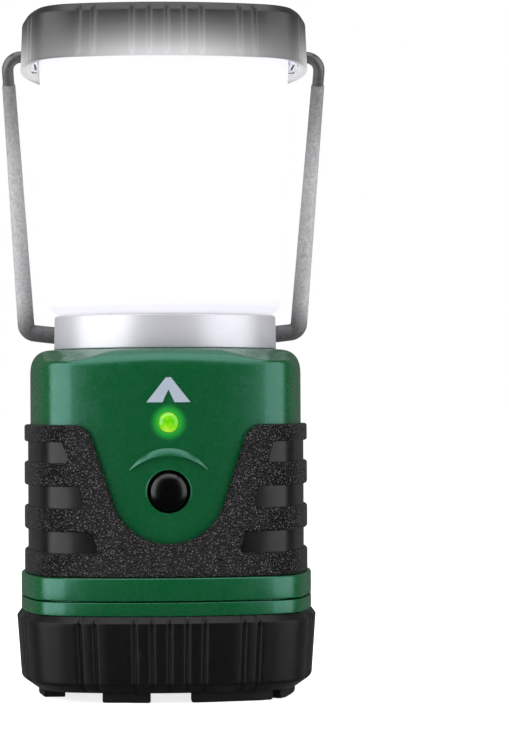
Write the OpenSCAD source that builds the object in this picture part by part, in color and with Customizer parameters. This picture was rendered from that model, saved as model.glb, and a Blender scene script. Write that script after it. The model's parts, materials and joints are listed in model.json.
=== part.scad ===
// Rechargeable LED camping lantern, in millimetres. +Z is up, the front with the power button faces -Y,
// and the origin is the centre of the footprint on the plane that the feet stand on.

/* [Overall] */
// Half width of the green body at the middle of a face
body_w = 39.6; // [38.5:0.1:40.5]
// How far the grip sleeve stands proud of the body
grip_proud = 1.75; // [1:0.05:1.9]
// Half width of the base boot at its top edge
boot_w = 43.65; // [43.2:0.05:44.5]
// Half width of the cap at its lower rim
cap_w = 42.1; // [41.8:0.1:42.5]
// Overall height, from the feet to the top of the cap
total_h = 196.8; // [195:0.1:200]

/* [Levels] */
// Underside of the base boot, which is the height of the feet
boot_z = 2.9; // [2:0.1:4]
// Top edge of the base boot, where the green base ring starts
ring_z = 24.6; // [24:0.1:25]
// Seam between the base and the body
seam_z = 28.8; // [28.5:0.1:29.2]
// Top of the body's flange, where the grip sleeve starts
grip_z0 = 35.2; // [34:0.1:36]
// Top edge of the grip sleeve
grip_z1 = 78; // [77:0.1:79]
// Top of the body, where the collar stands
body_z1 = 99.5; // [99:0.1:100]
// Top edge of the collar
collar_z1 = 109.2; // [108:0.1:109.3]
// Lower rim of the cap
cap_z0 = 181; // [180:0.1:181.5]

/* [Globe and collar] */
// Outer radius of the collar
collar_r = 32.4; // [32:0.1:33]
// Outer radius of the globe at its lower end
globe_r0 = 34.4; // [34:0.1:35]
// Outer radius of the globe at its upper end
globe_r1 = 36.6; // [36:0.1:36.8]
// Turn that frees the globe's bayonet lugs, in degrees
twist = 20; // [10:1:25]

/* [Handle] */
// Radius of the bail wire
wire_r = 1.7; // [1.5:0.05:1.8]
// Height of the bail's pivots
pivot_z = 185.8; // [185.5:0.1:186.5]
// Half the distance between the arms, just under the pivots
arm_x0 = 45.9; // [45.5:0.1:46.4]
// Half the distance between the arms, at the hand grip
arm_x1 = 41.8; // [41:0.1:43]
// Distance from the pivots to the hand bar's centre line, at its middle
bail_l = 90; // [89.5:0.1:91]
// How far the hand bar bows out at its middle
bar_bow = 2.5; // [1:0.1:3]
// Angle that the bail hangs back from straight down
bail_lean = 23.4; // [23.2:0.1:25]

/* [Controls] */
// Height of the power button's centre
button_z = 59.2; // [58:0.1:60]
// Radius of the power button
button_r = 5.75; // [5.5:0.05:6]
// Height of the charge indicator's centre
lens_z = 78.6; // [78:0.1:80]
// Radius of the charge indicator's lens
lens_r = 2.9; // [2.5:0.1:3.1]

/* [Hidden] */
$fn = 64;
eps = 0.01;

// The plan of the case is a square with bulging faces and round corners, at half width 1.
face_r = 2.26;
corner_r = 1 / 3;
face_off = face_r - 1;
corner_c = (sqrt(2 * pow(face_r - corner_r, 2) - pow(face_off, 2)) - face_off) / 2;
face_a = asin(corner_c / (face_r - corner_r));
face_steps = 8;
corner_steps = 8;

// Vertical grooves in each face of the cap and the boot: places along the face, half width and depth.
grooves = [-25.6, -21.2, -10, -5, 0, 5, 10, 21.2, 25.6];
groove_hw = 0.7;
groove_d = 0.55;

// Walls and gaps
recess_w = body_w - 1;
cavity_w = body_w - 3.4;
flange_w = body_w + 2.75;
tray_w = boot_w - 3.05;
tray_in_w = tray_w - 1.7;
skirt_w = tray_in_w - 1.3;
skirt_z = 22;
seam_gap = 0.4;
tray_z = 5.2;
tray_floor = 2;
plate_w = boot_w - 6.15;
plate_z = boot_z + 0.1;
fit = 0.05;
gap = 0.3;

// Front panel: the lower end is an arc, and the sides lean out to the grip's top edge.
panel_r = 16;
panel_z = 60.7;
panel_lean = 18;
panel_fillet = 5.5;

// Grip windows: lowest and highest z, and the inner ends' x at the bottom and the top edge
windows = [[67.3, 73.1, 27.4, 29.4], [54.6, 60.6, 23.5, 25.1], [42.0, 47.9, 19.6, 21.1]];
window_w = body_w + 0.75;

// Hood over the button: the crescent between two circles
brow_proud = 1.1;
brow_out_r = 12.9;
brow_out_z = 58.5;
brow_in_r = 16.7;
brow_in_z = 52.4;

// Power button and switch
button_y = -body_w;
button_gap = 0.4;
button_flange_r = 7.4;
dome_r = 18.1;
plunger_r = 1.7;
switch_y = -33.9;
board_y = -29;
board_t = 1.6;
standoff_x = [-12.5, 12.5];
standoff_z = [49, 84];

// Ports at the back
port_board_z = 60.2;
socket_z = port_board_z + board_t;
// each socket: left and right side, inner end and height
usb_socket = [-1.55, 11.55, 23.5, 5.7];
charge_port = [-12.35, -4.65, 28.5, 3.9];
socket_gap = 0.2;
cover_x = 14.3;
cover_z0 = 57;
cover_z1 = 72.4;
cover_axis_y = body_w - 0.65;
cover_axis_z = 56.9;
cover_roll_r = 0.8;
pocket_y = body_w - 1.6;

// Screws that hold the base, the collar, the LED board and the cap
post_xy = 24.5;
post_r = 3.4;
post_top = 40;
screw_r = 1.1;
collar_screw_r = 26;
board_screw_r = 22;
cap_screw_r = 31.4;

// Pivots of the bail
bush_r = 2.6;
boss_x = 37.1;
boss_y = 13;
under_w = cap_w - 2.9;

// Globe and LED stack
neck_r = 29.4;
neck_z0 = 102.6;
globe_wall = 1.8;
globe_in_r = 29.5;
rim_t = 1.2;
collar_in_r = neck_r + gap;
collar_floor = 2;
lug_r = neck_r + 1.3;
lug_a = 10;
lug_angles = [0:120:240];
lug_fit = 0.2;
lug_z = [103, 104.5];
sink_z = body_z1 + collar_floor;
sink_r = 27.2;
led_z = sink_z + 2.5;
globe_z0 = 109.7;
globe_z1 = cap_z0 + 3.6;

// Cells
cell_r = 9.2;
cell_l = 65;
cell_x = 9.7;
cell_y = 4;
cell_z = 8.7;
cell_top = cell_z + cell_l;
holder_x = 21.5;
link_t = 0.2;
nub_h = 0.8;

// ---- Plan outlines ----

function turned(p, a) = [p.x * cos(a) - p.y * sin(a), p.x * sin(a) + p.y * cos(a)];

// One face of the plan, looking along +X, as points on its arc
function face_points(w) = [for (i = [0:face_steps]) let (a = face_a * (2 * i / face_steps - 1))
    w * [face_r * cos(a) - face_off, face_r * sin(a)]];

// The same face with its vertical grooves cut d deep
function grooved_points(w, d) = [
    w * [face_r * cos(face_a) - face_off, -face_r * sin(face_a)],
    for (g = grooves) for (s = [[-1.6, 0], [-1, 0.35], [0, 1], [1, 0.35], [1.6, 0]])
        let (a = (g + s[0] * groove_hw) / (w * face_r) * 180 / PI, r = w * face_r - s[1] * d)
        [r * cos(a) - w * face_off, r * sin(a)],
    w * [face_r * cos(face_a) - face_off, face_r * sin(face_a)]];

function corner_points(w) = [for (i = [1:corner_steps - 1])
    let (a = face_a + (90 - 2 * face_a) * i / corner_steps)
    w * [corner_c + corner_r * cos(a), corner_c + corner_r * sin(a)]];

function plan(w) = [for (k = [0:3]) for (p = concat(face_points(w), corner_points(w))) turned(p, 90 * k)];

function grooved_plan(w, d) = [for (k = [0:3]) for (p = concat(grooved_points(w, d), corner_points(w)))
    turned(p, 90 * k)];

// The plan drawn in to a circle of radius r by the share t
function morphed_plan(w, r, t) = [for (p = plan(w)) p * (1 - t) + t * r * p / norm(p)];

// A solid through level sections, each [z, points], all with the same number of points
module loft(sections) {
    n = len(sections[0][1]);
    m = len(sections);
    points = [for (s = sections) for (p = s[1]) [p.x, p.y, s[0]]];
    sides = [for (j = [0:m - 2]) for (i = [0:n - 1]) let (k = (i + 1) % n)
        each [[j * n + i, (j + 1) * n + i, (j + 1) * n + k], [j * n + i, (j + 1) * n + k, j * n + k]]];
    polyhedron(points, concat([[for (i = [0:n - 1]) i]], sides, [[for (i = [n - 1:-1:0]) (m - 1) * n + i]]));
}

// The same with the last section joined back to the first, which makes a closed ring
module loft_loop(sections) {
    n = len(sections[0][1]);
    m = len(sections);
    points = [for (s = sections) for (p = s[1]) [p.x, p.y, s[0]]];
    polyhedron(points, [for (j = [0:m - 1]) for (i = [0:n - 1]) let (k = (i + 1) % n, u = (j + 1) % m)
        each [[j * n + i, u * n + i, u * n + k], [j * n + i, u * n + k, j * n + k]]]);
}

module slab(w, z0, z1) {
    translate([0, 0, z0]) linear_extrude(z1 - z0) polygon(plan(w));
}

module tube(w_out, w_in, z0, z1) {
    difference() {
        slab(w_out, z0, z1);
        slab(w_in, z0 - 1, z1 + 1);
    }
}

// ---- Small shared shapes ----

module along_y(r, y0, y1, x = 0, z = 0) {
    translate([x, y1, z]) rotate([90, 0, 0]) cylinder(r = r, h = y1 - y0);
}

module along_x(r, x0, x1, y = 0, z = 0) {
    translate([x0, y, z]) rotate([0, 90, 0]) cylinder(r = r, h = x1 - x0);
}

module box(lo, hi) {
    translate(lo) cube(hi - lo);
}

// A part of a ring about Z: radii, levels, and the angles where it starts and ends
module sector(r0, r1, z0, z1, a0, a1) {
    rotate([0, 0, a0]) rotate_extrude(angle = a1 - a0) translate([r0, z0]) square([r1 - r0, z1 - z0]);
}

// A cross-head screw with its head on z = 0 downwards and its shank up to z = length
module screw(length, r = screw_r, head_r = 2.1, head_h = 1.4) {
    difference() {
        union() {
            translate([0, 0, -head_h]) cylinder(r = head_r, h = head_h);
            cylinder(r = r, h = length);
        }
        for (a = [0, 90]) rotate([0, 0, a])
            translate([-1.3, -0.25, -head_h - 1]) cube([2.6, 0.5, 1.7]);
    }
}

// A round lead through a list of points
module lead(points, r = 0.7) {
    for (i = [0:len(points) - 2]) {
        d = points[i + 1] - points[i];
        translate(points[i]) rotate([0, acos(d.z / norm(d)), atan2(d.y, d.x)]) cylinder(r = r, h = norm(d));
    }
    for (i = [1:len(points) - 2]) translate(points[i]) sphere(r = r + 0.08);
}

module at_posts() {
    for (x = [-1, 1]) for (y = [-1, 1]) translate([x * post_xy, y * post_xy, 0]) children();
}

module at_ring(r, count, a0 = 0) {
    for (i = [0:count - 1]) rotate([0, 0, a0 + 360 * i / count]) translate([r, 0, 0]) children();
}

// ---- Base ----

// Ribbed ring: up the outside, over the top edge, down the inside, and back under the plate's edge
module base_boot() {
    color([0.09, 0.09, 0.095])
    loft_loop([
        [boot_z, grooved_plan(boot_w - 4.6, 0)],
        [boot_z + 2.2, grooved_plan(boot_w - 1.25, 0)],
        [boot_z + 2.8, grooved_plan(boot_w - 1.15, groove_d)],
        [ring_z - 2.4, grooved_plan(boot_w - 0.05, groove_d)],
        [ring_z - 1.9, grooved_plan(boot_w, 0)],
        [ring_z, grooved_plan(flange_w - 0.2, 0)],
        [ring_z, grooved_plan(tray_w + 0.15, 0)],
        [tray_z, grooved_plan(tray_w + 0.15, 0)],
        [tray_z, grooved_plan(plate_w + 0.15, 0)],
        [boot_z, grooved_plan(plate_w + 0.15, 0)]]);
}

// Closes the boot under the tray, and carries the feet
module base_plate() {
    color([0.09, 0.09, 0.095])
    difference() {
        slab(plate_w, plate_z, tray_z);
        at_posts() cylinder(r = 2.6, h = 20, center = true);
    }
}

// Where the feet start and end along each face, from its middle
foot_spans = [[5.3, 18.8], [-29.6, -6.1]];
side_foot_spans = [[-18.8, -5.3], [6.1, 29.6]];

module foot(x0, x1) {
    intersection() {
        tube(plate_w, plate_w - 5.2, 0, plate_z);
        box([x0, 20, -1], [x1, 60, boot_z + 1]);
        // a mitred end where the foot meets its neighbour at the corner
        linear_extrude(10, center = true) polygon([[0, 1.6], [60, 61.6], [-60, 61.6]]);
    }
}

module feet() {
    color([0.03, 0.03, 0.03])
    for (half = [0, 180]) rotate([0, 0, half]) {
        for (s = foot_spans) foot(s[0], s[1]);
        rotate([0, 0, 90]) for (s = side_foot_spans) foot(s[0], s[1]);
    }
}

module base_tray() {
    color([0.02, 0.36, 0.17])
    difference() {
        union() {
            slab(tray_w, tray_z, ring_z);
            slab(flange_w, ring_z, seam_z - seam_gap);
        }
        slab(tray_in_w, tray_z + tray_floor, seam_z);
        at_posts() cylinder(r = screw_r + fit, h = 20, center = true);
    }
}

module base_screws() {
    color([0.6, 0.6, 0.62])
    at_posts() translate([0, 0, tray_z]) screw(12);
}

module base_seal() {
    color([0.55, 0.12, 0.08])
    tube(tray_in_w, skirt_w, ring_z + 0.4, ring_z + 2);
}

// ---- Body ----

// Outline of the front panel, as seen from the front, reaching up to z1
function panel_side() = let (
        t = [panel_r * cos(panel_lean), panel_z - panel_r * sin(panel_lean)],
        cz = grip_z1 - panel_fillet,
        lz = cz + panel_fillet * sin(panel_lean),
        cx = t.x + (lz - t.y) * tan(panel_lean) + panel_fillet * cos(panel_lean))
    [for (i = [0:6]) let (a = 180 - panel_lean - (90 - panel_lean) * i / 6)
        [cx + panel_fillet * cos(a), cz + panel_fillet * sin(a)]];

function panel_outline(z1) = let (side = panel_side(), last = side[len(side) - 1]) concat(
    [for (i = [0:16]) let (a = 180 + panel_lean + (180 - 2 * panel_lean) * i / 16)
        [panel_r * cos(a), panel_z + panel_r * sin(a)]],
    side,
    [[last.x, z1], [-last.x, z1]],
    [for (i = [len(side) - 1:-1:0]) [-side[i].x, side[i].y]]);

// The panel's outline run through both faces, front and back
module panel_prism(z1) {
    rotate([90, 0, 0]) linear_extrude(120, center = true) polygon(panel_outline(z1));
}

module brow() {
    intersection() {
        slab(body_w + brow_proud, 60, 75);
        difference() {
            along_y(brow_out_r, -50, -cavity_w + 1, 0, brow_out_z);
            along_y(brow_in_r, -51, -cavity_w + 2, 0, brow_in_z);
        }
    }
}

module body_outside() {
    slab(flange_w, seam_z, grip_z0);
    slab(skirt_w, skirt_z, seam_z + eps);
    slab(recess_w, grip_z0 - eps, grip_z1 + eps);
    slab(body_w, grip_z1, 94.4);
    loft([
        [94.4 - eps, plan(body_w)],
        [95.4, plan(body_w - 0.35)],
        [96.1, plan(body_w - 1.2)],
        [96.7, morphed_plan(body_w - 2.4, 36.6, 0.35)],
        [98.2, morphed_plan(body_w - 4, 35, 0.8)],
        [body_z1, morphed_plan(body_w - 5, 33.8, 1)]]);
    intersection() {
        slab(body_w, 40, grip_z1 + eps);
        panel_prism(grip_z1 + 1);
    }
    brow();
}

module body_inside() {
    difference() {
        union() {
            slab(skirt_w - 1.8, skirt_z - 1, seam_z);
            slab(cavity_w, seam_z - eps, 93.5);
            loft([
                [93.5 - eps, plan(cavity_w)],
                [95.5, morphed_plan(cavity_w - 2, 32, 0.6)],
                [97.3, morphed_plan(cavity_w - 5, 30, 1)]]);
        }
        // screw posts, each tied to its corner by a web
        at_posts() cylinder(r = post_r, h = post_top);
        for (a = [45:90:315]) rotate([0, 0, a]) box([post_xy * sqrt(2), -1, skirt_z], [44, 1, post_top]);
        // stand-offs of the control board
        for (x = standoff_x) for (z = standoff_z) along_y(2.4, -cavity_w - 1, board_y - board_t, x, z);
    }
}

module body_shell() {
    color([0.02, 0.36, 0.17])
    difference() {
        body_outside();
        body_inside();
        cylinder(r = 20, h = 120);
        at_posts() cylinder(r = screw_r + fit, h = 25);
        at_ring(collar_screw_r, 3, 30) translate([0, 0, 95]) cylinder(r = screw_r + fit, h = 10);
        along_y(button_r + button_gap, -60, -30, 0, button_z);
        along_y(lens_r, -60, -30, 0, lens_z);
        for (x = standoff_x) for (z = standoff_z) along_y(0.9, -35.4, -29, x, z);
        // port pocket and the two slots behind it
        box([-cover_x - gap, pocket_y, cover_z0 - 1.5], [cover_x + gap, 60, cover_z1 + gap]);
        for (p = [usb_socket, charge_port])
            box([p[0] - socket_gap, 30, socket_z], [p[1] + socket_gap, 45, socket_z + p[3] + socket_gap]);
    }
    // screw posts reach down into the base, under the skirt
    color([0.02, 0.36, 0.17])
    at_posts() difference() {
        translate([0, 0, tray_z + tray_floor]) cylinder(r = post_r, h = post_top - tray_z - tray_floor);
        cylinder(r = screw_r + fit, h = 25);
    }
}

module window_cut(z0, z1, x0, x1) {
    intersection() {
        tube(body_w + 5, window_w, z0, z1);
        rotate([90, 0, 0]) linear_extrude(120, center = true) union() {
            polygon([[x0, z0], [60, z0], [60, z1], [x1, z1]]);
            polygon([[-x0, z0], [-60, z0], [-60, z1], [-x1, z1]]);
        }
    }
}

module grip_sleeve() {
    color([0.07, 0.07, 0.075])
    difference() {
        slab(body_w + grip_proud, grip_z0, grip_z1);
        slab(recess_w, grip_z0 - 1, grip_z1 + 1);
        panel_prism(grip_z1 + 2);
        for (w = windows) window_cut(w[0], w[1], w[2], w[3]);
    }
}

// A small tent mark inlaid over the indicator
module front_emblem() {
    color([0.8, 0.83, 0.85])
    intersection() {
        tube(body_w + 0.2, body_w, 80, 95);
        rotate([90, 0, 0]) linear_extrude(60) difference() {
            polygon([[-6.2, 84.2], [6.2, 84.2], [0.7, 91.2], [-0.7, 91.2]]);
            polygon([[-1.7, 84.1], [1.7, 84.1], [0, 87.8]]);
        }
    }
}

// ---- Controls ----

module power_button() {
    color([0.03, 0.03, 0.03])
    union() {
        along_y(button_r, button_y + 0.1, -35, 0, button_z);
        along_y(button_flange_r, -35.5, -34.7, 0, button_z);
        intersection() {
            translate([0, button_y + dome_r - 0.9, button_z]) sphere(r = dome_r);
            along_y(button_r, button_y - 2, button_y + 0.2, 0, button_z);
        }
    }
}

module switch_plunger() {
    color([0.85, 0.85, 0.85])
    along_y(plunger_r, -34.7, -33.2, 0, button_z);
}

module switch_housing() {
    color([0.2, 0.2, 0.2])
    difference() {
        box([-3, switch_y, button_z - 3], [3, board_y - board_t, button_z + 3]);
        along_y(plunger_r + fit, switch_y - 1, switch_y + 1.5, 0, button_z);
    }
}

module indicator_lens() {
    color([0.45, 0.95, 0.05])
    union() {
        along_y(lens_r, -body_w + 0.3, -35, 0, lens_z);
        along_y(2, -35.1, -32.4, 0, lens_z);
        intersection() {
            translate([0, -body_w + 4.1, lens_z]) sphere(r = 4.8);
            along_y(lens_r, -body_w - 2, -body_w + 0.4, 0, lens_z);
        }
    }
}

module indicator_led() {
    color([0.9, 0.95, 0.8])
    box([-1.6, -32.2, lens_z - 1.4], [1.6, board_y - board_t, lens_z + 1.4]);
}

module control_board() {
    color([0.05, 0.3, 0.12])
    difference() {
        box([-16, board_y - board_t, 45], [16, board_y, 88]);
        for (x = standoff_x) for (z = standoff_z) along_y(screw_r + fit, -40, -20, x, z);
    }
}

module board_screws() {
    color([0.6, 0.6, 0.62])
    for (x = standoff_x) for (z = standoff_z)
        translate([x, board_y, z]) rotate([90, 0, 0]) screw(5, 0.85, 1.9, 1.2);
}

module board_components() {
    color([0.15, 0.15, 0.17])
    union() {
        along_y(4.5, board_y, board_y + 4.5, -7, 73);
        box([1, board_y, 69], [8, board_y + 1.6, 76]);
        along_y(3.1, board_y, board_y + 6, 9, 58);
        along_y(3.1, board_y, board_y + 6, 1.5, 58);
        box([-11, board_y, 55], [-5, board_y + 1.2, 61]);
        box([-4, board_y, 80], [4, board_y + 3, 84]);
    }
}

// ---- Battery ----

module at_cells() {
    for (x = [-cell_x, cell_x]) translate([x, cell_y, 0]) children();
}

module battery_cells() {
    color([0.1, 0.35, 0.65])
    at_cells() {
        translate([0, 0, cell_z]) cylinder(r = cell_r, h = cell_l);
        translate([0, 0, cell_top]) cylinder(r = 3, h = nub_h);
    }
}

module battery_links() {
    color([0.75, 0.73, 0.68])
    union() {
        for (z = [cell_z - link_t, cell_top + nub_h]) box([-14, cell_y - 4, z], [14, cell_y + 4, z + link_t]);
    }
}

module battery_cradle() {
    color([0.12, 0.12, 0.13])
    difference() {
        box([-holder_x, cell_y - 12, tray_z + tray_floor], [holder_x, cell_y + 12, 16]);
        at_cells() translate([0, 0, cell_z]) cylinder(r = cell_r + fit, h = 10);
        box([-15, cell_y - 4.5, cell_z - 0.3], [15, cell_y + 4.5, cell_z + 1]);
    }
}

module battery_clamp() {
    color([0.12, 0.12, 0.13])
    difference() {
        box([-holder_x, cell_y - 12, 66], [holder_x, cell_y + 10.5, 77]);
        at_cells() translate([0, 0, 60]) cylinder(r = cell_r + fit, h = cell_top - 60);
        box([-15, cell_y - 4.5, 70], [15, cell_y + 4.5, cell_top + 1.2]);
        for (x = [-3, 3]) translate([x, cell_y, 60]) cylinder(r = 1, h = 20);
    }
}

module battery_leads() {
    color([0.75, 0.08, 0.06])
    for (x = [-3, 3])
        lead([[x, cell_y, cell_top + nub_h + link_t], [x, cell_y, 80], [x, -14, 85], [x, board_y + 3.2, 82]]);
}

module lamp_leads() {
    color([0.8, 0.8, 0.8])
    for (x = [-9, 9])
        lead([[x, board_y, 84.5], [x, -20, 84.5], [x, -12, 92], [x, -12, sink_z]]);
}

// ---- Ports ----

module port_board() {
    color([0.05, 0.3, 0.12])
    box([-14, 15, port_board_z], [14, 34.5, port_board_z + board_t]);
}

module socket_shell(p, sheet = 0.3) {
    top = socket_z + p[3];
    difference() {
        box([p[0], p[2], socket_z], [p[1], pocket_y - 0.1, top]);
        box([p[0] + sheet, p[2] + 1, socket_z + sheet], [p[1] - sheet, pocket_y + 1, top - sheet]);
    }
}

module usb_output_socket() {
    color([0.75, 0.75, 0.77]) socket_shell(usb_socket);
}

module charge_socket() {
    color([0.75, 0.75, 0.77]) socket_shell(charge_port);
}

module socket_tongues() {
    color([0.9, 0.9, 0.9])
    union() {
        box([usb_socket[0] + 1, usb_socket[2] + 1, socket_z + 3.2],
            [usb_socket[1] - 1, pocket_y - 1, socket_z + 5]);
        box([charge_port[0] + 1.45, charge_port[2] + 1, socket_z + 1.6],
            [charge_port[1] - 1.45, pocket_y - 1, socket_z + 2.3]);
    }
}

// Rubber flap that plugs the port pocket, with the roll that it folds about at its lower edge
module port_cover() {
    color([0.05, 0.05, 0.05])
    union() {
        intersection() {
            slab(body_w + 0.3, cover_z0, cover_z1);
            box([-cover_x, pocket_y + gap, cover_z0], [cover_x, 60, cover_z1]);
        }
        along_x(cover_roll_r, -12, 12, cover_axis_y, cover_axis_z);
    }
}

// ---- Collar and light engine ----

module collar() {
    color([0.78, 0.78, 0.82])
    difference() {
        translate([0, 0, body_z1]) cylinder(r1 = collar_r + 0.2, r2 = collar_r, h = collar_z1 - body_z1);
        translate([0, 0, body_z1 - 1]) cylinder(r = 20, h = 20);
        translate([0, 0, sink_z]) cylinder(r = collar_in_r, h = 20);
        at_ring(collar_screw_r, 3, 30) translate([0, 0, 95]) cylinder(r = screw_r + fit, h = 10);
        // bayonet channels, each open upwards at the unlocked end
        for (a = lug_angles) {
            end = a + twist + lug_a;
            sector(collar_in_r - 1, lug_r + gap, lug_z[0] - gap, lug_z[1] + gap, a - 1, end + 1);
            sector(collar_in_r - 1, lug_r + lug_fit, lug_z[0], collar_z1 + 1, a + twist - 0.5, end + 0.5);
        }
    }
}

module collar_screws() {
    color([0.6, 0.6, 0.62])
    at_ring(collar_screw_r, 3, 30) translate([0, 0, 97.3]) screw(3.6);
}

module heat_sink() {
    color([0.7, 0.7, 0.72])
    difference() {
        translate([0, 0, sink_z]) cylinder(r = sink_r, h = led_z - sink_z);
        at_ring(board_screw_r, 3, 90) translate([0, 0, 95]) cylinder(r = screw_r + fit, h = 15);
    }
}

module led_board() {
    color([0.95, 0.95, 0.93])
    difference() {
        translate([0, 0, led_z]) cylinder(r = 26.5, h = 1.6);
        at_ring(board_screw_r, 3, 90) translate([0, 0, 95]) cylinder(r = screw_r + fit, h = 15);
    }
}

module led_chips() {
    color([1, 0.9, 0.5])
    for (ring = [[8, 8], [16, 16]]) at_ring(ring[0], ring[1])
        translate([-1.5, -1.4, led_z + 1.6]) cube([3, 2.8, 0.8]);
}

module led_screws() {
    color([0.6, 0.6, 0.62])
    at_ring(board_screw_r, 3, 90) translate([0, 0, led_z + 1.6]) mirror([0, 0, 1]) screw(4);
}

module globe_seal() {
    color([0.85, 0.85, 0.85])
    difference() {
        translate([0, 0, collar_z1]) cylinder(r = 32, h = 0.3);
        translate([0, 0, collar_z1 - 1]) cylinder(r = 31.2, h = 3);
    }
}

// ---- Globe, cap and handle ----

module globe() {
    color([0.97, 0.97, 1])
    difference() {
        rotate_extrude() polygon([
            [neck_r, neck_z0], [neck_r, globe_z0], [31.6, globe_z0 + 0.4], [33.7, globe_z0 + 2.2],
            [globe_r0, globe_z0 + 4], [globe_r1, globe_z1 - 2], [globe_r1, globe_z1], [globe_in_r, globe_z1],
            [globe_in_r, globe_z1 - rim_t], [globe_r1 - globe_wall, globe_z1 - rim_t],
            [globe_r1 - globe_wall, globe_z1 - 2], [globe_r0 - globe_wall, globe_z0 + 4.6],
            [neck_r - globe_wall, globe_z0 + 1.4], [neck_r - globe_wall, neck_z0]]);
        cap_screw_holes();
    }
    color([0.97, 0.97, 1])
    for (a = lug_angles) sector(neck_r - 0.5, lug_r, lug_z[0], lug_z[1], a, a + lug_a);
}

module cap_screw_holes() {
    at_ring(cap_screw_r, 4, 45) translate([0, 0, 170]) cylinder(r = screw_r + fit, h = 22);
}

module reflector_cone() {
    color([0.85, 0.85, 0.88])
    difference() {
        union() {
            translate([0, 0, globe_z1 - 2]) cylinder(r = 33.6, h = 0.8);
            translate([0, 0, globe_z1 - 18]) cylinder(r1 = 1, r2 = 27, h = 16.01);
        }
        translate([0, 0, globe_z1 - 16.8]) cylinder(r1 = 0.5, r2 = 26, h = 16.81);
        cap_screw_holes();
    }
}

// White plate under the cap, with a boss at each side that holds a pivot bush
module cap_plate() {
    color([0.92, 0.93, 0.95])
    difference() {
        union() {
            slab(under_w, globe_z1, globe_z1 + rim_t);
            intersection() {
                slab(under_w, cap_z0 + 1.2, pivot_z + 3.6);
                for (side = [0, 1]) mirror([side, 0, 0]) box([boss_x, -boss_y, cap_z0], [cap_w, boss_y, 200]);
            }
        }
        for (side = [0, 1]) mirror([side, 0, 0]) along_x(bush_r, 30, 50, 0, pivot_z);
        cap_screw_holes();
    }
}

module cap_shell() {
    h = total_h - cap_z0;
    top_w = cap_w - 1;
    color([0.1, 0.1, 0.105])
    difference() {
        loft([
            [cap_z0, grooved_plan(cap_w - 0.3, 0)],
            [cap_z0 + 0.5, grooved_plan(cap_w, groove_d)],
            [cap_z0 + h - 3, grooved_plan(top_w + 0.1, groove_d)],
            [cap_z0 + h - 2.4, grooved_plan(top_w, 0)],
            [cap_z0 + h - 1.2, grooved_plan(top_w - 0.7, 0)],
            [cap_z0 + h - 0.35, grooved_plan(top_w - 1.9, 0)],
            [total_h, grooved_plan(top_w - 3.4, 0)]]);
        difference() {
            loft([[cap_z0 - 1, plan(cap_w - 2.1)], [total_h - 2, plan(cap_w - 3.2)]]);
            // screw bosses and a stiffening ring under the top
            at_ring(cap_screw_r, 4, 45) translate([0, 0, globe_z1 + rim_t]) cylinder(r = 3.2, h = 12);
            difference() {
                translate([0, 0, total_h - 6]) cylinder(r = 20, h = 6);
                translate([0, 0, total_h - 7]) cylinder(r = 18.5, h = 8);
            }
        }
        for (x = [-1, 1]) along_x(bush_r, x * 41 - 4, x * 41 + 4, 0, pivot_z);
        cap_screw_holes();
    }
}

module cap_screws() {
    color([0.6, 0.6, 0.62])
    at_ring(cap_screw_r, 4, 45) translate([0, 0, globe_z1 - 2]) screw(9);
}

module pivot_bushes() {
    color([0.7, 0.7, 0.72])
    for (side = [0, 1]) mirror([side, 0, 0]) difference() {
        along_x(bush_r, boss_x, cap_w - 0.9, 0, pivot_z);
        along_x(wire_r + fit, 30, 50, 0, pivot_z);
    }
}

// The bail lies in a plane through the pivots. These place it there, hanging back against the collar.
module in_bail_plane() {
    translate([0, 0, pivot_z]) rotate([bail_lean, 0, 0]) children();
}

// Radii of the bends' centre lines, how the round bar joins at them, and the arc that the bar bows to
bend_top = 4;
bend_low = 3;
bend_more = 0.03;
overlap = 0.3;
bar_end = arm_x1 - bend_low;
bar_arc_r = (pow(bar_end, 2) + pow(bar_bow, 2)) / (2 * bar_bow);
bar_a = asin(bar_end / (bar_arc_r - bend_low));
bend_d = bail_l - bar_arc_r + (bar_arc_r - bend_low) * cos(bar_a);
arm_lean = atan2(arm_x0 - arm_x1, bend_d - bend_top);
arm_l = norm([arm_x0 - arm_x1, bend_d - bend_top]);

module bend(r, centre_r, a0, a1) {
    rotate([90, 0, 0]) rotate([0, 0, a0])
        rotate_extrude(angle = a1 - a0) translate([centre_r, 0]) circle(r = r);
}

// Stands its children, drawn downwards along -Z, at the upper end of an arm
module at_arm() {
    translate([arm_x0 - bend_top + bend_top * cos(arm_lean), 0, -bend_top - bend_top * sin(arm_lean)])
        rotate([0, arm_lean, 0]) children();
}

module handle_wire() {
    color([0.3, 0.3, 0.32])
    in_bail_plane() for (side = [0, 1]) mirror([side, 0, 0]) union() {
        along_x(wire_r, 37.8, arm_x0 - bend_top + overlap, 0, 0);
        translate([arm_x0 - bend_top, 0, -bend_top]) bend(wire_r + bend_more, bend_top, -arm_lean, 90);
        at_arm() translate([0, 0, -arm_l]) cylinder(r = wire_r, h = arm_l + overlap);
    }
}

// Hand grip: a sleeve over the arms that thickens towards a solid hand bar
module handle_grip() {
    start = 4.2;
    grip_r = 2.6;
    grip_top_r = 2;
    bar_overlap_a = 0.06;
    color([0.42, 0.42, 0.43])
    in_bail_plane() {
        for (side = [0, 1]) mirror([side, 0, 0]) {
            at_arm() difference() {
                translate([0, 0, -arm_l - overlap])
                    cylinder(r1 = grip_r, r2 = grip_top_r, h = arm_l + overlap - start);
                translate([0, 0, -arm_l - 1]) cylinder(r = wire_r, h = arm_l + 2);
            }
            translate([bar_end, 0, -bend_d]) bend(grip_r + bend_more, bend_low, bar_a - 90, -arm_lean);
        }
        translate([0, 0, bar_arc_r - bail_l])
            bend(grip_r, bar_arc_r, -90 - bar_a - bar_overlap_a, bar_a + bar_overlap_a - 90);
    }
}

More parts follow.
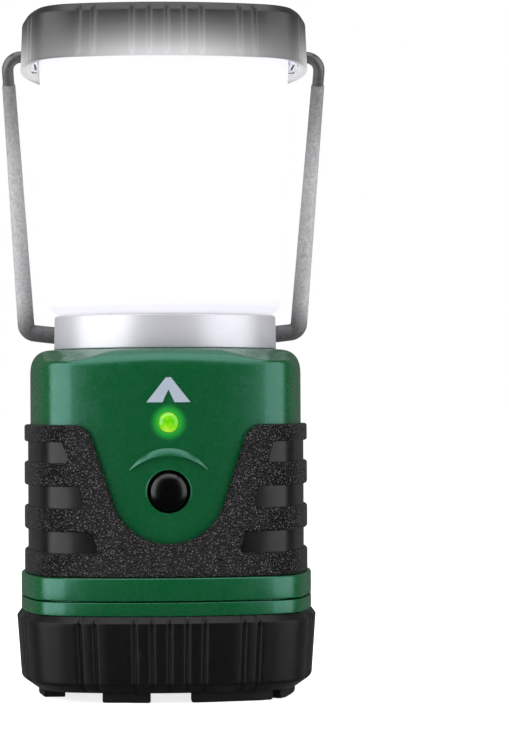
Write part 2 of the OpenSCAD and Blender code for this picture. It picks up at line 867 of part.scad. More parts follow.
base_boot();
base_plate();
feet();
base_tray();
base_screws();
base_seal();
body_shell();
grip_sleeve();
front_emblem();
power_button();
switch_plunger();
switch_housing();
indicator_lens();
indicator_led();
control_board();
board_components();
board_screws();
battery_cells();
battery_links();
battery_cradle();
battery_clamp();
battery_leads();
lamp_leads();
port_board();
usb_output_socket();
charge_socket();
socket_tongues();
port_cover();
collar();
collar_screws();
heat_sink();
led_board();
led_chips();
led_screws();
globe_seal();
globe();
reflector_cone();
cap_plate();
cap_shell();
cap_screws();
pivot_bushes();
handle_wire();
handle_grip();
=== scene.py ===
"""Camping lantern: detailed meshes, materials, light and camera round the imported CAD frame."""
import json
import math
import bpy
import bmesh
from mathutils import Euler, Matrix, Vector, noise


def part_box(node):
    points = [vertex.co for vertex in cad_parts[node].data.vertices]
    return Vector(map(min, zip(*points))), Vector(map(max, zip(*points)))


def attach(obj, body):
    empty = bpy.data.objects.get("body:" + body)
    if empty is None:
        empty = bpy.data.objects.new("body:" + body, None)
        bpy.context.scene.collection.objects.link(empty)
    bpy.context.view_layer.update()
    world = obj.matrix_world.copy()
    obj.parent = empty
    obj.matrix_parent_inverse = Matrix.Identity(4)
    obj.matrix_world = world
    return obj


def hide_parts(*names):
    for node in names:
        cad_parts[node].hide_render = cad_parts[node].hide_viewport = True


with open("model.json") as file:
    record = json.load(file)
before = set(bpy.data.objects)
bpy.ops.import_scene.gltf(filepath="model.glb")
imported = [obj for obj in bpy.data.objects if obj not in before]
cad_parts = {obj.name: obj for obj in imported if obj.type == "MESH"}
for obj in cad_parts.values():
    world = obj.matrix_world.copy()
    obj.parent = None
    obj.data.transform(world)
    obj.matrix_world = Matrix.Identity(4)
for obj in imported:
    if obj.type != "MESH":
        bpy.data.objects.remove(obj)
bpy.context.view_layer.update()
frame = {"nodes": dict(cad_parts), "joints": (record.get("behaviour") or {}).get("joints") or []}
nodes = frame["nodes"]

# ---- Sizes, in millimetres ----

MM = 0.001


def low(node, axis):
    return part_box(node)[0][axis] / MM


def high(node, axis):
    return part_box(node)[1][axis] / MM


X, Y, Z = 0, 1, 2
FEET_TOP = high("feet", Z)
BOOT_W = high("base_boot", X)
BOOT_Z0, RING_Z = low("base_boot", Z), high("base_boot", Z)
FLANGE_W = high("base_tray", X)
TRAY_TOP = high("base_tray", Z)
SEAM_Z = TRAY_TOP + 0.4
GRIP_W = high("grip_sleeve", X)
GRIP_Z0, GRIP_Z1 = low("grip_sleeve", Z), high("grip_sleeve", Z)
GRIP_PROUD = 1.75
WINDOW_PROUD = 0.72
BODY_W = GRIP_W - GRIP_PROUD
BODY_Z1 = high("body_shell", Z)
COLLAR_R = high("collar", X)
COLLAR_Z1 = high("collar", Z)
GLOBE_R1 = high("globe", X)
GLOBE_Z1 = high("globe", Z)
CAP_W = high("cap_shell", X)
CAP_Z0, CAP_Z1 = low("cap_shell", Z), high("cap_shell", Z)
BUTTON_Z = (low("power_button", Z) + high("power_button", Z)) / 2
LENS_Z = (low("indicator_lens", Z) + high("indicator_lens", Z)) / 2
LENS_R = high("indicator_lens", X)
PIVOT = next(j for j in frame["joints"] if j["name"] == "handle_swing")["pos_m"][2] / MM

# ---- Plan outline: a square with bulging faces and round corners, at half width 1 ----

FACE_R = 2.26
CORNER_R = 1 / 3
FACE_OFF = FACE_R - 1
CORNER_C = (math.sqrt(2 * (FACE_R - CORNER_R) ** 2 - FACE_OFF ** 2) - FACE_OFF) / 2
FACE_A = math.asin(CORNER_C / (FACE_R - CORNER_R))
DIAGONAL = CORNER_C * math.sqrt(2) + CORNER_R
CORNER_STEPS = 16
GROOVES = (-25.6, -21.2, -10, -5, 0, 5, 10, 21.2, 25.6)


def turn(x, y, quarter):
    """(x, y) turned by whole quarters, anticlockwise."""
    for _ in range(quarter % 4):
        x, y = -y, x
    return x, y


def dip(distance, half_width):
    """Share of a round-shouldered groove's depth at a distance from its middle."""
    t = abs(distance) / half_width
    return 0.5 * (1 + math.cos(math.pi * t)) if t < 1 else 0.0


def plan_samples(nominal, grooves=(), half_width=1.1):
    """Points round the plan: (x, y, normal x, normal y, groove share) for a half width of 1."""
    reach = FACE_A * FACE_R * nominal
    marks = [reach * (2 * i / 24 - 1) for i in range(25)]
    for g in grooves:
        marks += [g + half_width * k / 5 for k in range(-5, 6)]
    marks = sorted(m for m in marks if -reach <= m <= reach)
    marks = [m for i, m in enumerate(marks) if i == 0 or m - marks[i - 1] > 0.05]
    samples = []
    for quarter in range(4):
        for m in marks:
            a = m / (FACE_R * nominal)
            share = max([dip(m - g, half_width) for g in grooves], default=0.0)
            x, y = turn(FACE_R * math.cos(a) - FACE_OFF, FACE_R * math.sin(a), quarter)
            nx, ny = turn(math.cos(a), math.sin(a), quarter)
            samples.append((x, y, nx, ny, share))
        for i in range(1, CORNER_STEPS):
            a = FACE_A + (math.pi / 2 - 2 * FACE_A) * i / CORNER_STEPS
            nx, ny = turn(math.cos(a), math.sin(a), quarter)
            x, y = turn(CORNER_C + CORNER_R * math.cos(a), CORNER_C + CORNER_R * math.sin(a), quarter)
            samples.append((x, y, nx, ny, 0.0))
    return samples


def plan_ring(samples, w, z, depth=0.0):
    return [Vector((x * w - nx * g * depth, y * w - ny * g * depth, z)) for x, y, nx, ny, g in samples]


def circle_ring(samples, r, z):
    """A circle with one point for each point of the plan, in the same direction."""
    return [Vector((x, y, 0)).normalized() * r + Vector((0, 0, z)) for x, y, _, _, _ in samples]


FACE_S = FACE_A * FACE_R * BODY_W
CORNER_S = (math.pi / 2 - 2 * FACE_A) * CORNER_R * BODY_W
GIRTH = 8 * FACE_S + 4 * CORNER_S


def wrap(s, z, off):
    """A point s along the body's girth from the middle of the front, off outwards from its wall."""
    quarter, t = divmod(s + FACE_S, 2 * FACE_S + CORNER_S)
    if t <= 2 * FACE_S:
        a = (t - FACE_S) / (FACE_R * BODY_W)
        r = FACE_R * BODY_W + off
        x, y = r * math.cos(a) - FACE_OFF * BODY_W, r * math.sin(a)
    else:
        a = FACE_A + (t - 2 * FACE_S) / (CORNER_R * BODY_W)
        r = CORNER_R * BODY_W + off
        x, y = CORNER_C * BODY_W + r * math.cos(a), CORNER_C * BODY_W + r * math.sin(a)
    x, y = turn(x, y, int(quarter) + 3)
    return Vector((x, y, z))


def s_of_x(x):
    """Girth coordinate of a point on the front face x to the right of its middle."""
    return FACE_R * BODY_W * math.asin(x / (FACE_R * BODY_W))


def front_y(x, off=0.0):
    return wrap(s_of_x(x), 0, off).y


# ---- Mesh building ----


def finish_mesh(bm, name, sharp=35):
    """Makes an object of a bmesh in millimetres, smooth but for edges sharper than the angle."""
    bmesh.ops.remove_doubles(bm, verts=bm.verts, dist=0.0005)
    bmesh.ops.dissolve_degenerate(bm, edges=bm.edges, dist=0.0002)
    bmesh.ops.recalc_face_normals(bm, faces=bm.faces)
    bmesh.ops.scale(bm, vec=(MM, MM, MM), verts=bm.verts)
    mesh = bpy.data.meshes.new(name)
    bm.to_mesh(mesh)
    bm.free()
    mesh.shade_smooth()
    mesh.set_sharp_from_angle(angle=math.radians(sharp))
    piece = bpy.data.objects.new(name, mesh)
    bpy.context.scene.collection.objects.link(piece)
    return piece


def add_loft(bm, rings, loop=False):
    """Quads through rings with equal numbers of points; loop joins the last ring to the first."""
    n = len(rings[0])
    verts = [[bm.verts.new(p) for p in ring] for ring in rings]
    pairs = [(verts[j], verts[(j + 1) % len(verts)]) for j in range(len(verts) - (not loop))]
    for a, b in pairs:
        for i in range(n):
            k = (i + 1) % n
            bm.faces.new((a[i], a[k], b[k], b[i]))
    return verts


def add_solid(bm, rings):
    """A loft with a face over each end."""
    verts = add_loft(bm, rings)
    bm.faces.new(verts[0])
    bm.faces.new(verts[-1])


def loft(name, rings, loop=False, sharp=35):
    bm = bmesh.new()
    add_loft(bm, rings, loop)
    return finish_mesh(bm, name, sharp)


NEARLY_STRAIGHT = math.radians(89)


def rounded(corners, closed=True, steps=4):
    """A path of (across, up) points through corners (across, up, radius), with each corner rounded."""
    path = []
    count = len(corners)
    for i, (x, z, r) in enumerate(corners):
        p = Vector((x, z))
        ends = i in (0, count - 1) and not closed
        if r <= 0 or ends:
            path.append((x, z))
            continue
        before = Vector(corners[i - 1][:2]) - p
        after = Vector(corners[(i + 1) % count][:2]) - p
        half = before.angle(after) / 2
        if half > NEARLY_STRAIGHT:
            path.append((x, z))
            continue
        reach = min(r / math.tan(half), before.length * 0.49, after.length * 0.49)
        r = reach * math.tan(half)
        centre = p + (before.normalized() + after.normalized()).normalized() * (r / math.sin(half))
        a = p + before.normalized() * reach - centre
        b = p + after.normalized() * reach - centre
        sweep = a.angle_signed(b)
        for k in range(steps + 1):
            t = -sweep * k / steps
            turned = Vector((a.x * math.cos(t) - a.y * math.sin(t), a.x * math.sin(t) + a.y * math.cos(t)))
            path.append(tuple(centre + turned))
    return path


def revolve(name, path, segments=96, loop=True, axis="Z", at=(0, 0, 0)):
    """A turned piece from a path of (radius, along) points, about a line along Z, -Y or X."""
    rings = []
    for r, h in path:
        ring = []
        for i in range(segments):
            a = 2 * math.pi * i / segments
            c, s = r * math.cos(a), r * math.sin(a)
            if axis == "Z":
                p = Vector((c, s, h))
            elif axis == "-Y":
                p = Vector((c, -h, s))
            else:
                p = Vector((h, c, s))
            ring.append(p + Vector(at))
        rings.append(ring)
    return loft(name, rings, loop)


def slab_2d(name, outlines, off0, off1, bevel, inset=0.0, step=1.6, seam=None, sharp=40, bevel_steps=3):
    """A thick piece cut to (s, z) outlines, the first outside and the rest holes, bent round the body.

    It spans off0 to off1 outwards from the body's wall, with its edges rounded by bevel and drawn in
    by inset. seam is the girth coordinate where both ends of an all-round piece are cut and joined.
    """
    curve = bpy.data.curves.new(name, "CURVE")
    curve.dimensions = "2D"
    curve.fill_mode = "BOTH"
    curve.extrude = (off1 - off0) / 2 - bevel
    curve.bevel_depth = bevel
    curve.bevel_resolution = bevel_steps
    curve.offset = -bevel - inset
    for outline in outlines:
        spline = curve.splines.new("POLY")
        spline.points.add(len(outline) - 1)
        for point, (s, z) in zip(spline.points, outline):
            point.co = (s, z, 0, 1)
        spline.use_cyclic_u = True
    made = bpy.data.objects.new(name, curve)
    bpy.context.scene.collection.objects.link(made)
    graph = bpy.context.evaluated_depsgraph_get()
    mesh = bpy.data.meshes.new_from_object(made.evaluated_get(graph))
    bpy.data.objects.remove(made)
    bm = bmesh.new()
    bm.from_mesh(mesh)
    bpy.data.meshes.remove(mesh)
    bmesh.ops.remove_doubles(bm, verts=bm.verts, dist=0.001)
    s0 = min(v.co.x for v in bm.verts)
    s1 = max(v.co.x for v in bm.verts)
    cuts = [s0 + step * (i + 0.5) for i in range(int((s1 - s0) / step))]
    if seam:
        cuts += [-seam, seam]
    for cut in sorted(cuts):
        whole = bm.verts[:] + bm.edges[:] + bm.faces[:]
        bmesh.ops.bisect_plane(bm, geom=whole, plane_co=(cut, 0, 0), plane_no=(1, 0, 0), dist=0.0005)
    if seam:
        outside = [f for f in bm.faces if abs(f.calc_center_median().x) > seam]
        bmesh.ops.delete(bm, geom=outside, context="FACES")
    middle = (off0 + off1) / 2
    for v in bm.verts:
        v.co = wrap(v.co.x, v.co.y, middle + v.co.z)
    return finish_mesh(bm, name, sharp)


def cut_away(piece, cutters):
    """Boolean difference, applied, with smooth shading kept."""
    for cutter in cutters:
        modifier = piece.modifiers.new("cut", "BOOLEAN")
        modifier.operation = "DIFFERENCE"
        modifier.solver = "EXACT"
        modifier.object = cutter
    graph = bpy.context.evaluated_depsgraph_get()
    mesh = bpy.data.meshes.new_from_object(piece.evaluated_get(graph))
    piece.modifiers.clear()
    old = piece.data
    piece.data = mesh
    bpy.data.meshes.remove(old)
    for cutter in cutters:
        bpy.data.objects.remove(cutter)
    mesh.shade_smooth()
    mesh.set_sharp_from_angle(angle=math.radians(30))


def join(name, pieces):
    """Joins pieces into the first, keeping each one's materials."""
    base = pieces[0]
    with bpy.context.temp_override(
        active_object=base, selected_editable_objects=pieces, selected_objects=pieces, object=base
    ):
        bpy.ops.object.join()
    base.name = name
    return base


def dress(piece, material):
    piece.data.materials.clear()
    piece.data.materials.append(material)


def place(piece, body, slot, material, *replaced):
    """Gives a piece its material, its body and the CAD nodes that it stands for; slot is not used."""
    dress(piece, material)
    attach(piece, body)
    if replaced:
        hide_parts(*replaced)


# ---- Materials ----


def srgb(r, g, b):
    """Linear colour from 0 to 255 display values."""
    def linear(v):
        v /= 255
        return v / 12.92 if v <= 0.04045 else ((v + 0.055) / 1.055) ** 2.4
    return linear(r), linear(g), linear(b), 1.0


class Nodes:
    """A material's node tree with short calls for the nodes used here."""

    def __init__(self, name):
        self.material = bpy.data.materials.new(name)
        self.material.use_nodes = True
        self.tree = self.material.node_tree
        self.shader = self.tree.nodes["Principled BSDF"]
        self.place = self.add("ShaderNodeTexCoord").outputs["Object"]

    def add(self, kind):
        return self.tree.nodes.new(kind)

    def link(self, a, b):
        self.tree.links.new(a, b)

    def set(self, **values):
        for name, value in values.items():
            self.shader.inputs[name.replace("_", " ")].default_value = value

    def noise(self, size, detail=3.0, rough=0.55, stretch=None):
        """Noise with features about size millimetres across."""
        node = self.add("ShaderNodeTexNoise")
        node.inputs["Scale"].default_value = 1 / (size * MM)
        node.inputs["Detail"].default_value = detail
        node.inputs["Roughness"].default_value = rough
        if stretch:
            mapping = self.add("ShaderNodeMapping")
            mapping.inputs["Scale"].default_value = stretch
            self.link(self.place, mapping.inputs["Vector"])
            self.link(mapping.outputs[0], node.inputs["Vector"])
        else:
            self.link(self.place, node.inputs["Vector"])
        return node.outputs["Fac"]

    def cells(self, size):
        """Distance from the middles of cells about size millimetres across."""
        node = self.add("ShaderNodeTexVoronoi")
        node.inputs["Scale"].default_value = 1 / (size * MM)
        self.link(self.place, node.inputs["Vector"])
        return node.outputs["Distance"]

    def ramp(self, factor, *stops):
        """Colour ramp of (position, colour) stops."""
        node = self.add("ShaderNodeValToRGB")
        elements = node.color_ramp.elements
        while len(elements) < len(stops):
            elements.new(0.5)
        for element, (position, colour) in zip(elements, stops):
            element.position = position
            element.color = colour
        self.link(factor, node.inputs[0])
        return node.outputs["Color"]

    def span(self, value, low_in, high_in, low_out=0.0, high_out=1.0, smooth=False):
        node = self.add("ShaderNodeMapRange")
        if smooth:
            node.interpolation_type = "SMOOTHSTEP"
        node.inputs["From Min"].default_value = low_in
        node.inputs["From Max"].default_value = high_in
        node.inputs["To Min"].default_value = low_out
        node.inputs["To Max"].default_value = high_out
        self.link(value, node.inputs["Value"])
        return node.outputs["Result"]

    def math(self, operation, a, b):
        node = self.add("ShaderNodeMath")
        node.operation = operation
        for socket, value in zip(node.inputs, (a, b)):
            if isinstance(value, (int, float)):
                socket.default_value = value
            else:
                self.link(value, socket)
        return node.outputs[0]

    def mix(self, factor, a, b):
        node = self.add("ShaderNodeMix")
        node.data_type = "RGBA"
        for socket, value in ((node.inputs["Factor"], factor), (node.inputs[6], a), (node.inputs[7], b)):
            if isinstance(value, (int, float, tuple)):
                socket.default_value = value
            else:
                self.link(value, socket)
        return node.outputs[2]

    def height(self):
        """The point's height above the feet, in metres."""
        node = self.add("ShaderNodeSeparateXYZ")
        self.link(self.place, node.inputs[0])
        return node.outputs["Z"]

    def radius(self):
        """The point's distance from the lantern's axis, in metres."""
        flat = self.add("ShaderNodeVectorMath")
        flat.operation = "MULTIPLY"
        flat.inputs[1].default_value = (1, 1, 0)
        self.link(self.place, flat.inputs[0])
        length = self.add("ShaderNodeVectorMath")
        length.operation = "LENGTH"
        self.link(flat.outputs[0], length.inputs[0])
        return length.outputs["Value"]

    def edges(self):
        """1 on worn outer edges and 0 elsewhere."""
        return self.span(self.add("ShaderNodeNewGeometry").outputs["Pointiness"], 0.5, 0.6)

    def colour(self, value):
        if isinstance(value, tuple):
            self.shader.inputs["Base Color"].default_value = value
        else:
            self.link(value, self.shader.inputs["Base Color"])

    def roughness(self, value):
        self.link(value, self.shader.inputs["Roughness"])

    def bump(self, value, depth):
        """Raises the surface by up to depth millimetres."""
        node = self.add("ShaderNodeBump")
        node.inputs["Strength"].default_value = 1.0
        node.inputs["Distance"].default_value = depth * MM
        self.link(value, node.inputs["Height"])
        self.link(node.outputs[0], self.shader.inputs["Normal"])


def moulded_nodes(name, colour, worn, rough=0.35, grain=0.35, depth=0.01, variation=0.05, edge=0.25, **more):
    """Moulded plastic: fine spark-eroded grain, slight colour drift, and paler worn edges."""
    m = Nodes(name)
    drift = m.span(m.noise(9, 4), 0.3, 0.7, 0, variation)
    base = m.mix(drift, colour, worn)
    scuffs = m.math("MULTIPLY", m.edges(), m.span(m.noise(2.2, 5, 0.7), 0.42, 0.62))
    m.colour(m.mix(m.math("MULTIPLY", scuffs, edge), base, worn))
    m.roughness(m.span(m.noise(3.5, 5, 0.65), 0.25, 0.75, rough - 0.06, rough + 0.08))
    m.bump(m.noise(grain, 2), depth)
    m.set(**more)
    return m


def moulded(*args, **more):
    return moulded_nodes(*args, **more).material


def rubber(name, colour, crest_highlight_colour, grain, depth, rough=0.55, **more):
    """Moulded rubber with a leather-like grain, its crests painted paler as highlights."""
    m = Nodes(name)
    cells = m.cells(grain)
    fine = m.noise(grain * 0.55, 3, 0.6)
    height = m.math("ADD", m.math("MULTIPLY", cells, -0.7), m.math("MULTIPLY", fine, 0.9))
    # Painted highlights: the grain's crests take the paler colour.
    m.colour(m.mix(m.span(height, 0.2, 0.46), colour, crest_highlight_colour))
    m.roughness(m.span(fine, 0.3, 0.7, rough - 0.12, rough + 0.1))
    m.bump(height, depth)
    m.set(**more)
    return m.material


def metal(name, colour, rough=0.32, brush=(1, 1, 40), size=6.0, depth=0.002, Metallic=1.0):
    """Metal with fine brush marks along one direction."""
    m = Nodes(name)
    marks = m.noise(size, 4, 0.6, stretch=brush)
    darker = tuple(c * 0.82 for c in colour[:3]) + (1,)
    m.colour(m.mix(m.span(marks, 0.3, 0.7, 0, 0.25), colour, darker))
    m.roughness(m.span(marks, 0.2, 0.8, rough - 0.06, rough + 0.08))
    m.bump(marks, depth)
    m.set(Metallic=Metallic)
    return m.material


GREEN = srgb(0, 68, 29)
GREEN_WORN = srgb(14, 92, 52)
PAINTED_GLOW_REACH = 2.6


def green_material():
    """Glossy green plastic, with the lit indicator's light round the lens painted in as glow."""
    m = moulded_nodes(
        "green_plastic", GREEN, GREEN_WORN, rough=0.26, depth=0.0006, Specular_IOR_Level=0.95,
        Specular_Tint=(0.5, 1.0, 0.98, 1.0), Emission_Color=(0.03, 0.6, 0.02, 1.0)
    )
    # Painted light: green emission round the lens, fading out a short way beyond its rim, stands in for the
    # indicator's glow on the plastic.
    reach = m.add("ShaderNodeVectorMath")
    reach.operation = "DISTANCE"
    reach.inputs[1].default_value = (0, -BODY_W * MM, LENS_Z * MM)
    m.link(m.place, reach.inputs[0])
    painted_glow = m.span(reach.outputs["Value"], LENS_R * MM, (LENS_R + PAINTED_GLOW_REACH) * MM, 0.5, 0.0, smooth=True)
    m.link(painted_glow, m.shader.inputs["Emission Strength"])
    return m.material


green_plastic = green_material()
boot_plastic = moulded(
    "boot_plastic", srgb(9, 9, 10), srgb(40, 40, 42), rough=0.36, grain=0.3, depth=0.006, edge=0.35,
    Specular_IOR_Level=0.24
)
foot_rubber = rubber("foot_rubber", srgb(9, 9, 9), srgb(22, 22, 22), 0.6, 0.03, rough=0.7)
grip_rubber = rubber(
    "grip_rubber", srgb(1, 1, 1), srgb(112, 108, 112), 0.62, 0.8, rough=0.3, Specular_IOR_Level=0.3
)
window_rubber = moulded(
    "window_rubber", srgb(6, 5, 5), srgb(26, 26, 27), rough=0.29, grain=0.25, depth=0.004,
    Specular_IOR_Level=0.34
)
button_rubber = moulded("button_rubber", srgb(1, 1, 1), srgb(3, 3, 3), rough=0.24, depth=0.001)
cover_rubber = moulded("cover_rubber", srgb(26, 26, 27), srgb(60, 60, 62), rough=0.55, depth=0.02)
collar_metal = metal("collar_metal", srgb(200, 200, 207), 0.38, brush=(1, 1, 30), Metallic=0.5)
steel = metal("steel", srgb(190, 190, 194), 0.25, brush=(1, 1, 1), size=1.5)
nickel = metal("nickel", srgb(202, 196, 180), 0.3, brush=(1, 8, 1), size=3)
aluminium = metal("aluminium", srgb(205, 206, 210), 0.35, brush=(1, 1, 6), size=2)
chrome = metal("chrome", srgb(225, 226, 232), 0.12, size=12, depth=0.001)
white_plastic = moulded("white_plastic", srgb(236, 238, 243), srgb(205, 208, 214), rough=0.3, depth=0.003)
board_mask = moulded("board_mask", srgb(16, 84, 44), srgb(60, 130, 84), rough=0.3, grain=0.8, depth=0.01)
board_white = moulded("board_white", srgb(240, 240, 236), srgb(214, 214, 208), rough=0.35, depth=0.004)
part_plastic = moulded("part_plastic", srgb(40, 40, 43), srgb(84, 84, 88), rough=0.4)
carrier_plastic = moulded("carrier_plastic", srgb(34, 34, 36), srgb(78, 78, 82), rough=0.5)
cell_wrap = moulded("cell_wrap", srgb(36, 98, 176), srgb(110, 158, 210), rough=0.22, depth=0.004)
red_wire = moulded("red_wire", srgb(176, 24, 20), srgb(210, 96, 90), rough=0.4)
white_wire = moulded("white_wire", srgb(222, 222, 222), srgb(188, 188, 188), rough=0.4)
red_seal = moulded("red_seal", srgb(134, 34, 24), srgb(160, 90, 80), rough=0.5)
grey_seal = moulded("grey_seal", srgb(190, 190, 190), srgb(150, 150, 150), rough=0.5)
phosphor = moulded("phosphor", srgb(246, 214, 96), srgb(250, 236, 170), rough=0.3)
emblem_silver = moulded("emblem_silver", srgb(138, 147, 160), srgb(178, 194, 198), rough=0.35, depth=0.004)


EVEN_GLOW_Z0, EVEN_GLOW_Z1 = 128, 150
GLOBE_FOOT_Z = 111


def globe_material():
    """Frosted diffuser, lit from inside: almost even white, a little bluer towards both ends."""
    m = Nodes("globe_frost")
    z = m.height()
    up = m.span(z, EVEN_GLOW_Z1 * MM, GLOBE_Z1 * MM, 0, 1, smooth=True)
    down = m.span(z, EVEN_GLOW_Z0 * MM, GLOBE_FOOT_Z * MM, 0, 1, smooth=True)
    ends = m.math("MAXIMUM", m.math("MULTIPLY", up, 0.9), down)
    glow = m.mix(ends, (1.0, 1.0, 1.0, 1.0), (0.68, 0.675, 0.74, 1.0))
    m.link(glow, m.shader.inputs["Emission Color"])
    m.colour(m.mix(m.span(m.noise(5, 3), 0.3, 0.7, 0, 0.3), (0.24, 0.24, 0.26, 1), (0.2, 0.2, 0.22, 1)))
    m.roughness(m.span(m.noise(1.2, 3), 0.2, 0.8, 0.4, 0.5))
    m.bump(m.noise(0.4, 2), 0.006)
    m.set(Emission_Strength=0.92)
    return m.material


def lens_material():
    """Lit indicator: yellow-green, with a darker core and a paler lower edge."""
    m = Nodes("lens_green")
    tint = m.span(m.height(), (LENS_Z - LENS_R) * MM, (LENS_Z + LENS_R) * MM)
    patch = m.noise(1.3, 2)
    shade = m.math("ADD", tint, m.span(patch, 0.35, 0.65, -0.1, 0.12))
    glow = m.ramp(
        shade, (0.0, srgb(214, 255, 92)), (0.3, srgb(150, 240, 10)), (0.6, srgb(96, 214, 0)),
        (0.85, srgb(150, 246, 20)), (1.0, srgb(196, 255, 120))
    )
    m.link(glow, m.shader.inputs["Emission Color"])
    m.colour(m.mix(0.8, glow, (0.01, 0.06, 0.0, 1)))
    m.roughness(m.span(patch, 0.2, 0.8, 0.12, 0.22))
    m.set(Emission_Strength=0.5, Coat_Weight=0.5)
    return m.material


CAP_PAINTED_GLOW = 13.5


def cap_material():
    """Dark moulded plastic, with painted light from the globe on its lower edge."""
    m = Nodes("cap_plastic")
    z = m.height()
    drift = m.span(m.noise(8, 4), 0.3, 0.7, 0, 0.15)
    scuffs = m.math("MULTIPLY", m.edges(), 0.3)
    base = m.mix(drift, srgb(20, 20, 21), srgb(40, 40, 41))
    m.colour(m.mix(scuffs, base, srgb(90, 90, 92)))
    # Painted light: emission, pale at the lower edge and fading upwards, stands in for the globe's light
    # falling on the cap.
    glow = m.ramp(
        m.span(z, CAP_Z0 * MM, (CAP_Z0 + CAP_PAINTED_GLOW) * MM),
        (0.0, srgb(214, 214, 216)), (0.12, srgb(207, 207, 208)),
        (0.33, srgb(168, 168, 169)), (0.53, srgb(129, 129, 130)), (0.73, srgb(90, 90, 91)),
        (0.94, srgb(42, 42, 43)), (1.0, srgb(26, 26, 27))
    )
    m.link(glow, m.shader.inputs["Emission Color"])
    # The painted light is weaker towards the corners, further from the globe.
    painted_glow_strength = m.span(m.radius(), CAP_W * MM, CAP_W * DIAGONAL * MM, 1.0, 0.22)
    m.link(painted_glow_strength, m.shader.inputs["Emission Strength"])
    m.roughness(m.span(m.noise(3, 5, 0.6), 0.25, 0.75, 0.34, 0.46))
    m.bump(m.noise(0.3, 2), 0.008)
    return m.material


def wire_material():
    """Glossy dark grey coating."""
    m = Nodes("wire_coat")
    m.colour(m.mix(m.span(m.noise(2.5, 4), 0.3, 0.7, 0, 0.5), srgb(62, 62, 63), srgb(86, 86, 87)))
    m.roughness(m.span(m.noise(1.5, 4), 0.25, 0.75, 0.2, 0.32))
    m.bump(m.noise(0.7, 3), 0.012)
    m.set(Coat_Weight=0.3)
    return m.material


# Heights in millimetres where the painted shade on the handle is full or ends.
BAR_SHADE_FULL_Z, BAR_SHADE_END_Z = 103, 116
TOP_SHADE_START_Z, TOP_SHADE_FULL_Z = 148, 176


def handle_material():
    """Soft-touch rubber with a fine mottle and painted shade: darkest round the hand bar and a little darker
    at the top.
    """
    m = Nodes("handle_rubber")
    mottle = m.span(m.noise(0.9, 4, 0.65), 0.3, 0.7)
    top = m.mix(mottle, srgb(94, 94, 95), srgb(126, 126, 127))
    pale = m.mix(mottle, srgb(132, 132, 133), srgb(168, 168, 169))
    dark = m.mix(mottle, srgb(52, 52, 53), srgb(80, 80, 81))
    # Painted shade: dark round the hand bar, pale on the arms, a little darker again near the top.
    z = m.height()
    arms = m.mix(m.span(z, TOP_SHADE_START_Z * MM, TOP_SHADE_FULL_Z * MM, smooth=True), pale, top)
    m.colour(m.mix(m.span(z, BAR_SHADE_FULL_Z * MM, BAR_SHADE_END_Z * MM, 1, 0, smooth=True), arms, dark))
    m.roughness(m.span(m.noise(1.6, 4), 0.25, 0.75, 0.5, 0.66))
    m.bump(mottle, 0.05)
    return m.material


globe_frost = globe_material()
lens_green = lens_material()
cap_plastic = cap_material()
wire_coat = wire_material()
handle_rubber = handle_material()

# ---- Base ----

BOOT_GROOVE, BOOT_GROOVE_HALF = 0.75, 1.15
BOOT_TAPER, BOOT_WALL = 1.25, 2.9
BOOT_CHAMFER, BOOT_SLOPE = 2.4, 2.0
FOOT_DEPTH, FOOT_MITRE = 5.2, 1.7
FOOT_SPANS = ((5.3, 18.8), (-29.2, -6.1))
TRAY_WALL = 3.1
CENTRE = 0.01


def fade(z, z0, z1, ease):
    """1 between z0 and z1, easing to 0 beyond them."""
    a = min(1.0, max(0.0, (z - z0) / ease))
    b = min(1.0, max(0.0, (z1 - z) / ease))
    return min(a, b)


def grooved_rings(samples, path, groove, z0, z1, ease, outside):
    """Rings along a section path of (half width, z), with grooves from z0 to z1 where it is wide enough."""
    return [plan_ring(samples, w, z, groove * fade(z, z0, z1, ease) if w > outside else 0.0) for w, z in path]


def rise(w0, z0, w1, z1, count):
    """Straight steps from one section corner to the next, so that grooves can run out between them."""
    return [(w0 + (w1 - w0) * i / count, z0 + (z1 - z0) * i / count, 0) for i in range(1, count)]


def make_boot():
    """Ribbed boot: chamfered below, widening upwards, and sloping in to the ring above."""
    low_w, top_w, inner = BOOT_W - BOOT_TAPER, FLANGE_W - 0.2, BOOT_W - BOOT_WALL
    chamfer_z, slope_z, top_z = BOOT_Z0 + BOOT_CHAMFER, RING_Z - BOOT_SLOPE, RING_Z - 0.05
    rim_w, rim_z = BOOT_W - 6.0, BOOT_Z0 + 2.3
    corners = [(BOOT_W - 4.6, BOOT_Z0, 0.3), (low_w, chamfer_z, 1.3)]
    corners += rise(low_w, chamfer_z, BOOT_W, slope_z, 16)
    corners += [(BOOT_W, slope_z, 0.35), (top_w, top_z, 0.3), (inner, top_z, 0)]
    corners += [(inner, rim_z, 0), (rim_w, rim_z, 0), (rim_w, BOOT_Z0, 0)]
    samples = plan_samples(BOOT_W, GROOVES, BOOT_GROOVE_HALF)
    path = rounded(corners, steps=5)
    rings = grooved_rings(samples, path, BOOT_GROOVE, BOOT_Z0 + 0.6, RING_Z - 0.9, 1.4, inner + 0.2)
    boot = loft("base_boot_shell", rings, loop=True)
    place(boot, "case", "boot_black", boot_plastic, "base_boot")


def foot_outline(w, x0, x1):
    """One foot, as an outline that follows the base's plan on its +Y side."""
    outer, inner = [], []
    for i in range(9):
        x = x0 + (x1 - x0) * i / 8
        for rim, half in ((outer, w), (inner, w - FOOT_DEPTH)):
            y = half * (math.sqrt(FACE_R ** 2 - (x / half) ** 2) - FACE_OFF)
            if abs(x) > CORNER_C * half:
                c = CORNER_C * half
                y = c + math.sqrt(max(0.0, (CORNER_R * half) ** 2 - (abs(x) - c) ** 2))
            rim.append((x, max(y, abs(x) + FOOT_MITRE)))
    return outer + inner[::-1]


